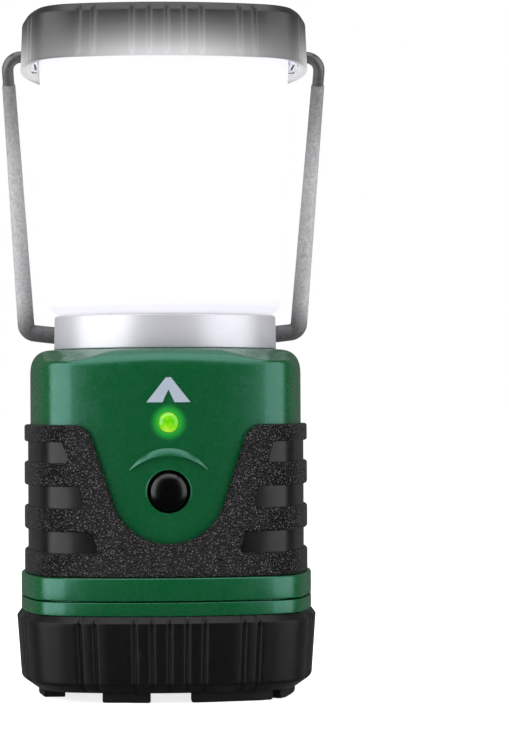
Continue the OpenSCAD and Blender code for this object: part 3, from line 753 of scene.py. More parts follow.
def foot_ring(outline, inset, z, quarter):
    """A foot's outline drawn in towards its middle, at height z, on one side of the base."""
    middle = Vector((sum(p[0] for p in outline), sum(p[1] for p in outline))) / len(outline)
    ring = []
    for point in outline:
        p = Vector(point)
        p += (middle - p).normalized() * inset
        x, y = turn(p.x, p.y, quarter)
        ring.append(Vector((x, y, z)))
    return ring


def make_feet():
    """Two feet on each side of the base, laid out as mirror images on neighbouring sides."""
    w = high("base_plate", Y)
    bm = bmesh.new()
    for quarter in range(4):
        for x0, x1 in FOOT_SPANS:
            outline = foot_outline(w, -x1, -x0) if quarter % 2 else foot_outline(w, x0, x1)
            levels = ((0.9, 0.0), (0.25, 0.12), (0.0, 0.5), (0.0, FEET_TOP))
            add_solid(bm, [foot_ring(outline, inset, z, quarter) for inset, z in levels])
    feet = finish_mesh(bm, "feet_pads", 50)
    place(feet, "case", "foot_rubber", foot_rubber, "feet")


def make_ring():
    """Green base ring over the boot, with the tray's wall inside it."""
    samples = plan_samples(FLANGE_W)
    inner, tray_w = FLANGE_W - TRAY_WALL, BOOT_W - TRAY_WALL
    floor_z1, floor_z0 = RING_Z - 17, RING_Z - 19.3
    corners = [
        (FLANGE_W, RING_Z, 0.25), (FLANGE_W, TRAY_TOP, 0.3), (inner, TRAY_TOP, 0.2),
        (inner, floor_z1, 0), (CENTRE, floor_z1, 0), (CENTRE, floor_z0, 0),
        (tray_w, floor_z0, 0), (tray_w, RING_Z, 0),
    ]
    rings = [plan_ring(samples, w, z) for w, z in rounded(corners, steps=5)]
    ring = loft("base_ring_tray", rings, loop=True)
    place(ring, "case", "body_green", green_plastic, "base_tray")


# ---- Body ----

SHOULDER_RISE = 7.3
SQUARENESS = 0.8
SHOULDER_MID = [
    (1 - abs(math.cos(a)) ** SQUARENESS, BODY_Z1 - SHOULDER_RISE * (1 - math.sin(a) ** SQUARENESS))
    for a in (math.pi / 2 * i / 10 for i in range(11))
]
SHOULDER_CORNER = (
    (0, 90.5), (0, 94.3), (0.006, 95.0), (0.03, 95.55), (0.07, 95.93), (0.112, 96.05), (0.126, 95.9),
    (0.2, 96.25), (0.4, 97.1), (0.7, 98.4), (1, BODY_Z1),
)
SEAT_R = 33.3
CREASE_ROW = 6
BODY_WALL, SKIRT_DEPTH = 3.4, 6.0
LEDGE_Z = 97.3
BUTTON_HOLE_R, LENS_HOLE_R = 6.15, 3.05
INSIDE, OUTSIDE = 30, 60


def smooth_steps(points, crease, between=4):
    """Points along a Catmull-Rom curve, which bends freely only at the crease row."""
    result = []
    last = len(points) - 1
    for i in range(last):
        p1, p2 = Vector(points[i]), Vector(points[i + 1])
        p0 = Vector(points[i - 1]) if i > 0 and i != crease else p1 * 2 - p2
        p3 = Vector(points[i + 2]) if i + 2 <= last and i + 1 != crease else p2 * 2 - p1
        for k in range(between):
            t = k / between
            result.append(0.5 * (
                2 * p1 + (p2 - p0) * t + (2 * p0 - 5 * p1 + 4 * p2 - p3) * t * t
                + (3 * p1 - p0 - 3 * p2 + p3) * t ** 3
            ))
    result.append(Vector(points[-1]))
    return result


def shoulder_rings(samples):
    """Rings from the body's wall up to the collar's seat: soft at mid face, creased at the corners."""
    mid = smooth_steps(SHOULDER_MID, None)
    corner = smooth_steps(SHOULDER_CORNER, CREASE_ROW)
    rings = []
    for a, b in zip(mid, corner):
        ring = []
        for x, y, _, _, _ in samples:
            reach = math.hypot(x, y)
            t = min(abs(x), abs(y)) / max(abs(x), abs(y))
            t = min(1.0, max(0.0, (t - 0.4) / 0.45))
            t = t * t * (3 - 2 * t)
            q = a.x * (1 - t) + b.x * t
            z = a.y * (1 - t) + b.y * t
            r = BODY_W * reach * (1 - q) + SEAT_R * q
            ring.append(Vector((x / reach * r, y / reach * r, z)))
        rings.append(ring)
    return rings


def front_hole(name, r, z, segments):
    """A cutter for a round hole through the front wall."""
    path = [(0, INSIDE), (r, INSIDE), (r, OUTSIDE), (0, OUTSIDE)]
    return revolve(name, path, segments, False, axis="-Y", at=(0, 0, z))


def make_body():
    """Body shell: skirt, flange, wall, shoulder and the collar's seat, with its holes cut."""
    samples = plan_samples(BODY_W)
    wall, skirt_w, skirt_z = BODY_W - BODY_WALL, BODY_W - 0.2, SEAM_Z - SKIRT_DEPTH
    low_path = rounded([
        (wall, skirt_z, 0), (skirt_w, skirt_z, 0), (skirt_w, SEAM_Z, 0),
        (FLANGE_W, SEAM_Z, 0.3), (FLANGE_W, GRIP_Z0, 0.5), (BODY_W, GRIP_Z0, 0.15), (BODY_W, 60, 0),
    ], closed=False)
    rings = [plan_ring(samples, w, z) for w, z in low_path]
    rings += [plan_ring(samples, BODY_W, z) for z in (74, 85)]
    rings += shoulder_rings(samples)
    for r, z in ((SEAT_R - 0.6, BODY_Z1), (20, BODY_Z1), (20, LEDGE_Z), (30, LEDGE_Z)):
        rings.append(circle_ring(samples, r, z))
    rings += [plan_ring(samples, wall, z) for z in (92, 60)]
    body = loft("body_case", rings, loop=True, sharp=28)
    button_hole = front_hole("cut_button", BUTTON_HOLE_R, BUTTON_Z, 96)
    lens_hole = front_hole("cut_lens", LENS_HOLE_R, LENS_Z, 64)
    cut_away(body, [button_hole, lens_hole, pocket_cutter()] + slot_cutters())
    return body


COVER_LOW, COVER_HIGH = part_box("port_cover")


def box_cutter(name, lo, hi, radius=0.0):
    """A block with its edges along Y rounded."""
    bm = bmesh.new()
    x0, y0, z0 = lo
    x1, y1, z1 = hi
    outline = rounded([(x0, z0, radius), (x1, z0, radius), (x1, z1, radius), (x0, z1, radius)])
    rings = [[Vector((x, y, z)) for x, z in outline] for y in (y0, y1)]
    add_solid(bm, rings)
    return finish_mesh(bm, name)


def pocket_cutter():
    """The shallow pocket in the back wall that the port cover lies in."""
    side = COVER_HIGH.x / MM + 0.3
    top = COVER_HIGH.z / MM + 0.3
    return box_cutter("cut_pocket", (-side, BODY_W - 1.6, BUTTON_Z - 3.7), (side, OUTSIDE, top), 0.8)


def slot_cutters():
    """A slot in the back wall for each socket, a little larger than the socket."""
    gap = 0.15
    cutters = []
    for node in ("usb_output_socket", "charge_socket"):
        lo, hi = (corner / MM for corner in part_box(node))
        ends = (lo.x - gap, INSIDE, lo.z - gap), (hi.x + gap, 45, hi.z + gap)
        cutters.append(box_cutter("cut_" + node, *ends))
    return cutters


def arc(cx, cz, r, a0, a1, steps):
    return [
        (cx + r * math.cos(math.radians(a0 + (a1 - a0) * i / steps)),
         cz + r * math.sin(math.radians(a0 + (a1 - a0) * i / steps)))
        for i in range(steps + 1)
    ]


BROW_UPPER = (0, 58.5, 12.95, 147.5, 32.5)
BROW_LOWER = (0, 52.4, 16.75, 130.7, 49.3)
BROW_HALF, BROW_PROUD = 10.9, 1.1


def make_brow():
    """Crescent hood over the button: it rises from its upper arc to a lip along its lower arc."""
    rings = []
    for (ox, oz), (ix, iz) in zip(arc(*BROW_UPPER, 48), arc(*BROW_LOWER, 48)):
        full = max(0.0, 1 - (abs(ox) / BROW_HALF) ** 7)
        lip = BROW_PROUD * full
        section = [
            (0.0, -0.3), (0.0, 0.0), (0.06, 0.2 * full), (0.3, 0.5 * full), (0.6, 0.8 * full),
            (0.85, 1.03 * full), (0.95, lip), (1.01, lip * 0.93),
            (1.03, lip * 0.7), (0.98, 0.0), (0.97, -0.3),
        ]
        ring = []
        for t, off in section:
            x, z = ox + (ix - ox) * t, oz + (iz - oz) * t
            ring.append(wrap(s_of_x(x), z, off))
        rings.append(ring)
    bm = bmesh.new()
    add_solid(bm, rings)
    return finish_mesh(bm, "button_brow", 45)


def lip_ring(name, r, z, proud, width):
    """A small rounded lip round a hole in the front face."""
    y = -front_y(0)
    path = rounded([
        (r, y - 1.2, 0), (r, y + proud, 0.12), (r + width * 0.4, y + proud, 0.15), (r + width, y - 0.25, 0),
        (r + width, y - 1.2, 0),
    ])
    return revolve(name, path, 96, axis="-Y", at=(0, 0, z))


def make_front():
    parts = [make_body(), make_brow()]
    parts.append(lip_ring("button_lip", BUTTON_HOLE_R - 0.05, BUTTON_Z, 0.05, 0.45))
    parts.append(lip_ring("lens_lip", LENS_HOLE_R - 0.05, LENS_Z, 0.05, 0.35))
    place(join("body_case", parts), "case", "body_green", green_plastic, "body_shell")


# ---- Grip sleeve ----

PANEL_R, PANEL_Z, PANEL_LEAN, PANEL_FILLET = 16.0, 60.7, 18.0, 5.5
# Each window's lowest and highest z, and where its slanted end meets them on the front face.
WINDOWS = ((67.3, 73.1, 27.4, 29.4), (54.6, 60.6, 23.5, 25.1), (42.0, 47.9, 19.6, 21.1))


def panel_edge():
    """Right half of the front panel's outline, from its lowest point up to the sleeve's top edge."""
    lean = math.radians(PANEL_LEAN)
    tx, tz = PANEL_R * math.cos(lean), PANEL_Z - PANEL_R * math.sin(lean)
    cz = GRIP_Z1 - PANEL_FILLET
    lz = cz + PANEL_FILLET * math.sin(lean)
    cx = tx + (lz - tz) * math.tan(lean) + PANEL_FILLET * math.cos(lean)
    points = arc(0, PANEL_Z, PANEL_R, -90, -PANEL_LEAN, 22)
    points += arc(cx, cz, PANEL_FILLET, 180 - PANEL_LEAN, 90, 12)
    return points


def grip_outline():
    """The whole sleeve unrolled, from the middle of the back to the middle of the back."""
    edge = [(s_of_x(x), z) for x, z in panel_edge()]
    half = GIRTH / 2
    front_right = edge[1:]
    back_right = [(half - s, z) for s, z in edge[1:]][::-1]
    beyond = [(half, edge[0][1])] + [(half + s, z) for s, z in edge[1:4]]
    right = front_right + back_right + beyond
    left = [(-s, z) for s, z in right][::-1]
    end = right[-1][0]
    return [(-end, GRIP_Z0)] + left + [edge[0]] + right + [(end, GRIP_Z0)]


def window_outline(z0, z1, x0, x1, side):
    """One window, from its slanted end at the front to the one at the back."""
    half = GIRTH / 2
    s0, s1 = s_of_x(x0), s_of_x(x1)
    corners = [(s0, z0, 1.0), (half - s0, z0, 1.0), (half - s1, z1, 1.0), (s1, z1, 1.0)]
    return [(side * s, z) for s, z in rounded(corners)]


def make_grip():
    """The textured sleeve, and the smooth thinner layer that shows in its windows."""
    windows = [window_outline(*w, side) for w in WINDOWS for side in (1, -1)]
    outer = slab_2d(
        "grip_sleeve_skin", [grip_outline()] + windows, 0.03, GRIP_PROUD, 0.7, seam=GIRTH / 2, bevel_steps=4
    )
    place(outer, "case", "grip_rubber", grip_rubber, "grip_sleeve")
    under = slab_2d(
        "grip_sleeve_windows", [grip_outline()], 0.01, WINDOW_PROUD, 0.05, 0.9, seam=GIRTH / 2, bevel_steps=1
    )
    place(under, "case", "grip_rubber", window_rubber)


def make_emblem():
    """Small tent mark, with an open doorway."""
    tent = [(-6.2, 84.2), (-1.7, 84.2), (0.0, 87.8), (1.7, 84.2), (6.2, 84.2), (0.7, 91.2), (-0.7, 91.2)]
    outline = [(s_of_x(x), z) for x, z in tent]
    mark = slab_2d("front_emblem_tent", [outline], -0.1, 0.25, 0.12, step=1.2)
    place(mark, "case", "emblem_silver", emblem_silver, "front_emblem")


# ---- Controls and port cover ----


# Domes, as (radius, drop below the crown).
BUTTON_DOME = (
    (0, 0), (1.0, 0.03), (2.0, 0.12), (3.0, 0.28), (3.8, 0.5), (4.5, 0.8), (5.0, 1.12), (5.35, 1.48),
    (5.58, 1.9), (5.7, 2.4),
)
LENS_DOME = ((0, 0), (0.8, 0.05), (1.6, 0.22), (2.25, 0.5), (2.65, 0.8), (2.86, 1.15), (2.88, 3))


def make_button():
    """Domed button on a stem, with a flange behind the wall that holds it in."""
    y, stem_r, flange_r = -low("power_button", Y), BUTTON_DOME[-1][0], 7.4
    flange_front, flange_back = -front_y(0) - 4.1, -front_y(0) - 4.9
    path = [(r, y - drop) for r, drop in BUTTON_DOME]
    path += [(stem_r, flange_front), (flange_r, flange_front), (flange_r, flange_back), (0, flange_back)]
    button = revolve("power_button_dome", path, 96, False, axis="-Y", at=(0, 0, BUTTON_Z))
    place(button, "button", "button_rubber", button_rubber, "power_button")


def make_lens():
    """Domed lens with a thinner light pipe behind it."""
    y, lens_r, pipe_r, back, pipe_end = -low("indicator_lens", Y), LENS_DOME[-1][0], 2.0, 35, 32.4
    path = [(r, y - drop) for r, drop in LENS_DOME]
    path += [(lens_r, back), (pipe_r, back), (pipe_r, pipe_end), (0, pipe_end)]
    lens = revolve("indicator_lens_dome", path, 64, False, axis="-Y", at=(0, 0, LENS_Z))
    place(lens, "case", "lens_green", lens_green, "indicator_lens")


def make_cover():
    """Rubber port cover with a rolled hinge edge, a raised border and a pull tab."""
    half = GIRTH / 2
    side = COVER_HIGH.x / MM
    z0, z1 = COVER_LOW.z / MM + 0.9, COVER_HIGH.z / MM
    corners = [(half - side, z0, 0.5), (half + side, z0, 0.5), (half + side, z1, 2.2), (half - side, z1, 2.2)]
    plug = slab_2d("port_cover_plug", [rounded(corners)], -1.25, 0.0, 0.3)
    border = [(half - side + 1.6, z0 + 1.6, 1), (half + side - 1.6, z0 + 1.6, 1)]
    border += [(half + side - 1.6, z1 - 1.4, 1.4), (half - side + 1.6, z1 - 1.4, 1.4)]
    panel = slab_2d("port_cover_panel", [rounded(border)], -0.2, 0.22, 0.15)
    tab = [(half - 4, z1 - 2.6, 0.4), (half + 4, z1 - 2.6, 0.4)]
    tab += [(half + 3, z1 - 0.3, 0.6), (half - 3, z1 - 0.3, 0.6)]
    pull = slab_2d("port_cover_tab", [rounded(tab)], -0.2, 0.3, 0.14)
    roll_y, roll_z = COVER_LOW.y / MM + 0.8, COVER_LOW.z / MM + 0.8
    roll_path = [(0, -12), (0.6, -12), (0.78, -11.7), (0.78, 11.7), (0.6, 12), (0, 12)]
    roll = revolve("port_cover_roll", roll_path, 32, False, axis="X", at=(0, roll_y, roll_z))
    cover = join("port_cover_flap", [plug, panel, pull, roll])
    place(cover, "port_flap", "cover_rubber", cover_rubber, "port_cover")


# ---- Collar, globe and cap ----


COLLAR_BORE_R, COLLAR_HOLE_R = 29.8, 20
GLOBE_WALL, GLOBE_NECK_R, GLOBE_Z0, GLOBE_BELLY_Z0 = 1.8, 29.4, 102.6, 109.7
LUG_LOW, LUG_HIGH = 103, 104.5


def make_collar():
    """Silver band with a bore for the globe's neck and a floor with a hole through it."""
    z0, z1 = BODY_Z1 + 0.12, COLLAR_Z1
    floor_z = z0 + 2
    corners = [
        (COLLAR_R, z0, 0.35), (COLLAR_R - 0.2, z1, 0.3), (COLLAR_BORE_R, z1, 0.2),
        (COLLAR_BORE_R, floor_z, 0), (COLLAR_HOLE_R, floor_z, 0), (COLLAR_HOLE_R, z0, 0),
    ]
    collar = revolve("collar_band", rounded(corners), 160)
    place(collar, "case", "collar_silver", collar_metal, "collar")


def globe_lugs():
    """Three bayonet lugs round the globe's neck."""
    inner, outer = GLOBE_NECK_R - 0.4, GLOBE_NECK_R + 1.3
    section = ((inner, LUG_LOW), (outer, LUG_LOW), (outer, LUG_HIGH), (inner, LUG_HIGH))
    bm = bmesh.new()
    for start in (0, 120, 240):
        angles = [math.radians(start + 10 * i / 8) for i in range(9)]
        add_solid(bm, [[Vector((r * math.cos(a), r * math.sin(a), z)) for r, z in section] for a in angles])
    return finish_mesh(bm, "globe_lugs")


def make_globe():
    """Frosted diffuser: a neck, a rounded foot over the collar and a wall that widens upwards."""
    z0, z1, neck, foot_r = GLOBE_BELLY_Z0, GLOBE_Z1, GLOBE_NECK_R, GLOBE_R1 - 2.2
    inner_neck, inner_top, rim = GLOBE_NECK_R - GLOBE_WALL, GLOBE_R1 - GLOBE_WALL, 29.5
    corners = [
        (neck, GLOBE_Z0, 0.2), (neck, z0, 0.2), (31.6, z0 + 0.3, 0.5), (33.7, z0 + 2.1, 1.0),
        (foot_r, z0 + 4, 1.5), (GLOBE_R1, z1 - 2, 0.5), (GLOBE_R1, z1, 0.2), (rim, z1, 0), (rim, z1 - 1.2, 0),
        (inner_top, z1 - 1.2, 0), (inner_top, z1 - 2, 0), (foot_r - GLOBE_WALL, z0 + 4.6, 1.0),
        (inner_neck, z0 + 1.4, 0.3), (inner_neck, GLOBE_Z0, 0.2),
    ]
    globe = revolve("globe_diffuser", rounded(corners), 160)
    place(join("globe_diffuser", [globe, globe_lugs()]), "shade", "globe_frost", globe_frost, "globe")


CAP_GROOVE, CAP_GROOVE_HALF = 0.6, 1.0
CAP_TAPER, CAP_WALL, CAP_ROOF = 0.55, 2.1, 2.0


def make_cap():
    """Ribbed cap: a roof with a soft edge, and a skirt that widens a little downwards."""
    samples = plan_samples(CAP_W, GROOVES, CAP_GROOVE_HALF)
    top_w, inner = CAP_W - CAP_TAPER, CAP_W - CAP_WALL
    roof_z, soft_z = CAP_Z1 - CAP_ROOF, CAP_Z1 - 2.6
    corners = [(0, roof_z, 0), (inner - 1.1, roof_z, 0.5), (inner, CAP_Z0 + 0.2, 0.3), (CAP_W, CAP_Z0, 0.35)]
    corners += rise(CAP_W, CAP_Z0, top_w, soft_z, 10)
    corners += [(top_w, soft_z, 1.2), (top_w - 1.3, CAP_Z1 - 0.5, 1.2), (top_w - 5, CAP_Z1, 4)]
    corners += [(top_w * part / 6, CAP_Z1, 0) for part in (5, 4, 3, 2, 1, 0)]
    path = rounded(corners, closed=False, steps=6)
    rings = grooved_rings(samples, path, CAP_GROOVE, CAP_Z0 + 0.3, CAP_Z1 - 1.6, 0.9, inner + 0.3)
    cap = loft("cap_cover", rings)
    place(cap, "shade", "cap_black", cap_plastic, "cap_shell")


BOSS_X, BOSS_Y = 37.1, 13.0
PLATE_W = CAP_W - 2.95
PLATE_Z0, PLATE_Z1 = low("reflector_cone", Z) + 18, low("reflector_cone", Z) + 19.2


def pivot_boss(side):
    """A raised block round one pivot, curved like the cap on its outer side."""
    outline = []
    for i in range(13):
        y = BOSS_Y * (2 * i / 12 - 1)
        x = PLATE_W * (math.sqrt(FACE_R ** 2 - (y / PLATE_W) ** 2) - FACE_OFF)
        outline.append(Vector((side * x, y)))
    outline += [Vector((side * BOSS_X, BOSS_Y)), Vector((side * BOSS_X, -BOSS_Y))]
    middle = side * (BOSS_X + PLATE_W) / 2
    rings = []
    for inset, z in ((0.35, CAP_Z0 + 1.2), (0.1, CAP_Z0 + 1.35), (0.0, CAP_Z0 + 1.7), (0.0, PLATE_Z0 + 0.1)):
        ring = []
        for p in outline:
            x = p.x + math.copysign(inset, middle - p.x)
            y = p.y - math.copysign(inset, p.y) if abs(p.y) > BOSS_Y - 0.1 else p.y
            ring.append(Vector((x, y, z)))
        rings.append(ring)
    bm = bmesh.new()
    add_solid(bm, rings)
    return finish_mesh(bm, "boss")


def make_plate():
    """White plate under the cap with a boss round each pivot, and two dark blocks beside each boss as painted
    shadow in the gaps.
    """
    samples = plan_samples(CAP_W)
    w, z0, z1 = PLATE_W, PLATE_Z0, PLATE_Z1
    rings = [plan_ring(samples, r, z) for r, z in ((0, z1), (w, z1), (w, z0 + 0.1), (w - 0.1, z0), (0, z0))]
    plate = loft("cap_plate_white", rings)
    plate = join("cap_plate_white", [plate] + [pivot_boss(side) for side in (1, -1)])
    place(plate, "shade", "plate_white", white_plastic, "cap_plate")
    # Painted shadow: thin dark blocks beside each boss stand in for the shade in the gaps there.
    gap_shadow_blocks = []
    for side in (1, -1):
        for x0, x1, y0, y1 in ((BOSS_X + 0.25, BOSS_X + 0.8, -12, 1), (BOSS_X + 0.3, BOSS_X + 1.9, 7.6, 9.0)):
            x0, x1 = sorted((side * x0, side * x1))
            gap_shadow_blocks.append(box_cutter("slot", (x0, y0, CAP_Z0 + 1.12), (x1, y1, CAP_Z0 + 1.6), 0.1))
    place(join("cap_plate_gap_shadows", gap_shadow_blocks), "shade", "plate_white", part_plastic)


BUSH_BORE_R, BUSH_R = 1.78, 2.55


def make_bushes():
    pieces = []
    for side in (1, -1):
        end = side * high("pivot_bushes", X)
        start = side * BOSS_X
        corners = [(BUSH_BORE_R, start, 0.1), (BUSH_R, start, 0.2)]
        corners += [(BUSH_R, end, 0.2), (BUSH_BORE_R, end, 0.25)]
        pieces.append(revolve("bush", rounded(corners), 48, axis="X", at=(0, 0, PIVOT)))
    bushes = join("pivot_bush_pair", pieces)
    place(bushes, "shade", "bush_steel", steel, "pivot_bushes")


# ---- Bail ----

BAIL_LEAN = math.radians(23.4)
ARM_X0, ARM_X1, BAIL_L = 45.9, 41.8, 90.0
BEND_TOP, BEND_LOW = 4.0, 3.0
BAR_BOW = 2.5
BAR_END = ARM_X1 - BEND_LOW
BAR_ARC_R = (BAR_END ** 2 + BAR_BOW ** 2) / (2 * BAR_BOW)
BAR_A = math.asin(BAR_END / (BAR_ARC_R - BEND_LOW))
BEND_D = BAIL_L - BAR_ARC_R + (BAR_ARC_R - BEND_LOW) * math.cos(BAR_A)
WIRE_R, BAR_R = 1.7, 2.6
WIRE_END = 37.8


def bail_point(x, down):
    """A point of the bail's plane, down from the pivots' line."""
    return Vector((x, math.sin(BAIL_LEAN) * down, PIVOT - math.cos(BAIL_LEAN) * down))


def bend_arc(cx, cd, r, a0, a1, steps):
    """Arc in the bail's plane about (cx, cd); 0 degrees is outwards and 90 is up."""
    return [
        (cx + r * math.cos(math.radians(a0 + (a1 - a0) * i / steps)),
         cd - r * math.sin(math.radians(a0 + (a1 - a0) * i / steps)))
        for i in range(steps + 1)
    ]


def half_bail():
    """Right half of the centre line: (x, down) from the wire's end to the middle of the hand bar."""
    lean = math.degrees(math.atan2(ARM_X0 - ARM_X1, BEND_D - BEND_TOP))
    upper = [(WIRE_END, 0), (40, 0)] + bend_arc(ARM_X0 - BEND_TOP, BEND_TOP, BEND_TOP, 90, -lean, 14)
    lower = bend_arc(BAR_END, BEND_D, BEND_LOW, -lean, math.degrees(BAR_A) - 90, 10)
    return upper, lower


def between(a, b, count):
    """Points that divide the straight line from a to b, without its ends."""
    return [(a[0] + (b[0] - a[0]) * i / count, a[1] + (b[1] - a[1]) * i / count) for i in range(1, count)]


def sweep(name, line, radii, segments=28):
    """A round bar along (x, down) points of the bail's plane, with a radius at each point."""
    normal = Vector((0, math.cos(BAIL_LEAN), math.sin(BAIL_LEAN)))
    points = [bail_point(*p) for p in line]
    rings = []
    for i, p in enumerate(points):
        ahead = points[min(i + 1, len(points) - 1)]
        behind = points[max(i - 1, 0)]
        along = (ahead - behind).normalized()
        across = along.cross(normal).normalized()
        ring = []
        for k in range(segments):
            a = 2 * math.pi * k / segments
            ring.append(p + across * math.cos(a) * radii[i] + normal * math.sin(a) * radii[i])
        rings.append(ring)
    bm = bmesh.new()
    add_solid(bm, rings)
    return finish_mesh(bm, name, 50)


WIRE_BEVEL = 0.25


def make_wire():
    """The steel wire on each side, bevelled at its end in the bush."""
    upper, lower = half_bail()
    line = [upper[0], (WIRE_END + WIRE_BEVEL, 0)] + upper[1:] + between(upper[-1], lower[0], 24)
    radii = [WIRE_R - 0.3] + [WIRE_R] * (len(line) - 1)
    wires = [sweep("wire", [(side * x, down) for x, down in line], radii) for side in (1, -1)]
    wire = join("bail_wire", wires)
    place(wire, "handle", "wire_grey", wire_coat, "handle_wire")


GRIP_START = 4.2
SLEEVE_R, LIP_R, WAVE = 1.98, 1.76, 0.035


def make_handle_grip():
    """Sleeve over the arms, thickening to a solid bar, with a stepped lip where the wire comes out."""
    upper, lower = half_bail()
    top, corner = Vector(upper[-1]), Vector(lower[0])
    length = (corner - top).length
    start = top.lerp(corner, GRIP_START / length)
    arm = [tuple(start), tuple(start.lerp(corner, 0.004))] + between(tuple(start), tuple(corner), 36)
    angles = [BAR_A * (1 - i / 14) for i in range(1, 14)]
    bar = [(BAR_ARC_R * math.sin(a), BAIL_L - BAR_ARC_R * (1 - math.cos(a))) for a in angles]
    half = arm + lower + bar
    radii = []
    for i, (x, down) in enumerate(half):
        t = min(1.0, (down - start.y) / (corner.y - start.y))
        r = SLEEVE_R + (BAR_R - SLEEVE_R) * t
        wave = noise.noise(Vector((x * 0.11, down * 0.13, 4.0))) * WAVE
        radii.append(LIP_R if i == 0 else r - WAVE + wave)
    line = half + [(0, BAIL_L)] + [(-x, d) for x, d in reversed(half)]
    radii = radii + [BAR_R] + radii[::-1]
    grip = sweep("bail_grip", line, radii, 36)
    place(grip, "handle", "handle_rubber", handle_rubber, "handle_grip")


# ---- CAD nodes that keep their shape ----

KEPT = {
    "base_plate": boot_plastic, "base_screws": steel, "base_seal": red_seal, "switch_plunger": white_plastic,
    "switch_housing": part_plastic, "indicator_led": board_white, "control_board": board_mask,
    "board_components": part_plastic, "board_screws": steel, "battery_cells": cell_wrap,
    "battery_links": nickel, "battery_cradle": carrier_plastic, "battery_clamp": carrier_plastic,
    "battery_leads": red_wire, "lamp_leads": white_wire, "port_board": board_mask,
    "usb_output_socket": nickel, "charge_socket": nickel, "socket_tongues": white_plastic,
    "collar_screws": steel, "heat_sink": aluminium, "led_board": board_white, "led_chips": phosphor,
    "led_screws": steel, "globe_seal": grey_seal, "reflector_cone": chrome, "cap_screws": steel,
}


def dress_nodes():
    for name, material in KEPT.items():
        dress(nodes[name], material)


# ---- Floor, light and camera ----


FLOOR_HALF = 30.0


def make_floor():
    """A pale floor, wide enough to have no edge in any view."""
    mesh = bpy.data.meshes.new("floor")
    corners = [(x * FLOOR_HALF, y * FLOOR_HALF, 0) for x, y in ((-1, -1), (1, -1), (1, 1), (-1, 1))]
    mesh.from_pydata(corners, [], [(0, 1, 2, 3)])
    floor = bpy.data.objects.new("floor", mesh)
    bpy.context.scene.collection.objects.link(floor)
    m = Nodes("floor_pale")
    m.set(Base_Color=(0.85, 0.85, 0.85, 1), Roughness=0.7)
    m.set(Emission_Color=(1, 1, 1, 1), Emission_Strength=0.8)
    mesh.materials.append(m.material)
    floor.visible_glossy = False


# Levels of the surroundings in diffuse light, in reflections, and in those of what lies behind the lantern.
FILL = 0.3
REFLECTED = 0.03
BACKDROP = 0.15
# Softboxes: name, place, the point that each faces, size and power.
SOFTBOXES = (
    ("left_box", (-0.6, -0.24, 0.24), (0, 0, 0.09), (0.82, 0.78), 5.3),
    ("right_box", (0.6, -0.24, 0.24), (0, 0, 0.09), (0.78, 0.78), 3.6),
    ("top_box", (0, -0.22, 0.85), (0, 0, 0.1), (0.9, 1.0), 6.2),
)


def area_light(name, at, towards, size, power):
    data = bpy.data.lights.new(name, "AREA")
    data.shape = "RECTANGLE"
    data.size, data.size_y = size
    data.energy = power
    light = bpy.data.objects.new(name, data)
    bpy.context.scene.collection.objects.link(light)
    light.location = at
    direction = Vector(towards) - Vector(at)
    light.rotation_euler = direction.to_track_quat("-Z", "Y").to_euler()


def brighten_behind(tree, shade):
    """Make a world shade paler towards +Y, as if a pale backdrop stood behind the lantern."""
    direction = tree.nodes.new("ShaderNodeTexCoord")
    parts = tree.nodes.new("ShaderNodeSeparateXYZ")
    ramp = tree.nodes.new("ShaderNodeMapRange")
    tree.links.new(direction.outputs["Generated"], parts.inputs[0])
    tree.links.new(parts.outputs["Y"], ramp.inputs["Value"])
    limits = (("From Min", 0.25), ("From Max", 0.65), ("To Min", 1.0), ("To Max", BACKDROP / REFLECTED))
    for key, value in limits:
        ramp.inputs[key].default_value = value
    tree.links.new(ramp.outputs["Result"], shade.inputs["Strength"])


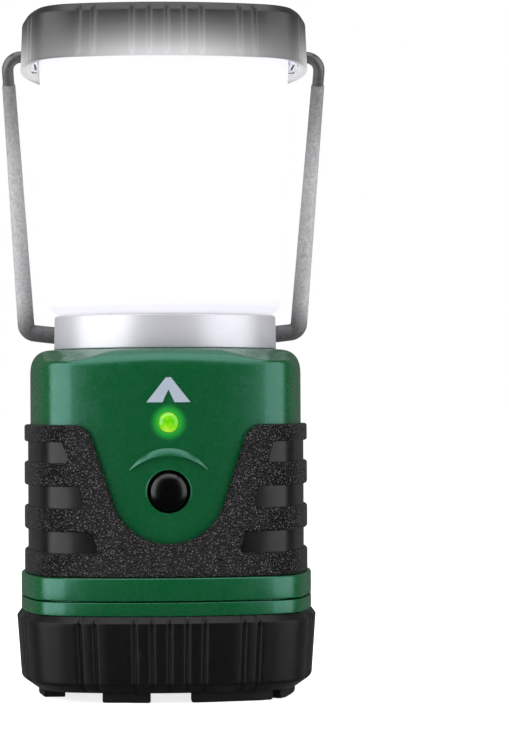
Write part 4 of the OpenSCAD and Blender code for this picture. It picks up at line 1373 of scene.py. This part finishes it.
def make_world():
    """White to the camera, an even fill for diffuse light, and dark round the softboxes in reflections."""
    world = bpy.data.worlds.new("studio")
    bpy.context.scene.world = world
    world.use_nodes = True
    tree = world.node_tree
    path = tree.nodes.new("ShaderNodeLightPath")
    shade = tree.nodes["Background"]
    shade.inputs["Color"].default_value = (FILL, FILL, FILL, 1)
    for ray, level in (("Is Glossy Ray", REFLECTED), ("Is Camera Ray", 1.0)):
        plain = tree.nodes.new("ShaderNodeBackground")
        plain.inputs["Color"].default_value = (level, level, level, 1)
        if ray == "Is Glossy Ray":
            brighten_behind(tree, plain)
        mixer = tree.nodes.new("ShaderNodeMixShader")
        tree.links.new(path.outputs[ray], mixer.inputs[0])
        tree.links.new(shade.outputs[0], mixer.inputs[1])
        tree.links.new(plain.outputs[0], mixer.inputs[2])
        shade = mixer
    tree.links.new(shade.outputs[0], tree.nodes["World Output"].inputs["Surface"])


CAMERA_DISTANCE = 0.8
CAMERA_HEIGHT = 0.0838
CAMERA_AZIMUTH = math.radians(1.2)
LENS_MM = 132.1
LOOK_RIGHT = math.radians(1.878)
LOOK_UP = math.radians(0.69)
ROLL = math.radians(-0.305)


def make_camera():
    """The lantern stands left of the picture's middle, so the camera looks a little past its right side."""
    data = bpy.data.cameras.new("camera")
    data.sensor_fit = "VERTICAL"
    data.sensor_height = 36
    data.lens = LENS_MM
    data.clip_end = 100
    camera = bpy.data.objects.new("camera", data)
    bpy.context.scene.collection.objects.link(camera)
    x = -CAMERA_DISTANCE * math.sin(CAMERA_AZIMUTH)
    y = -CAMERA_DISTANCE * math.cos(CAMERA_AZIMUTH)
    camera.location = (x, y, CAMERA_HEIGHT)
    look = Euler((math.pi / 2 + LOOK_UP, 0, -CAMERA_AZIMUTH - LOOK_RIGHT)).to_matrix()
    camera.rotation_euler = (look @ Matrix.Rotation(ROLL, 3, "Z")).to_euler()
    bpy.context.scene.camera = camera
    bpy.context.scene.view_settings.view_transform = "Standard"


make_camera()
make_floor()
make_world()
for softbox in SOFTBOXES:
    area_light(*softbox)
make_boot()
make_feet()
make_ring()
make_front()
make_grip()
make_emblem()
make_button()
make_lens()
make_cover()
make_collar()
make_globe()
make_cap()
make_plate()
make_bushes()
make_wire()
make_handle_grip()
dress_nodes()
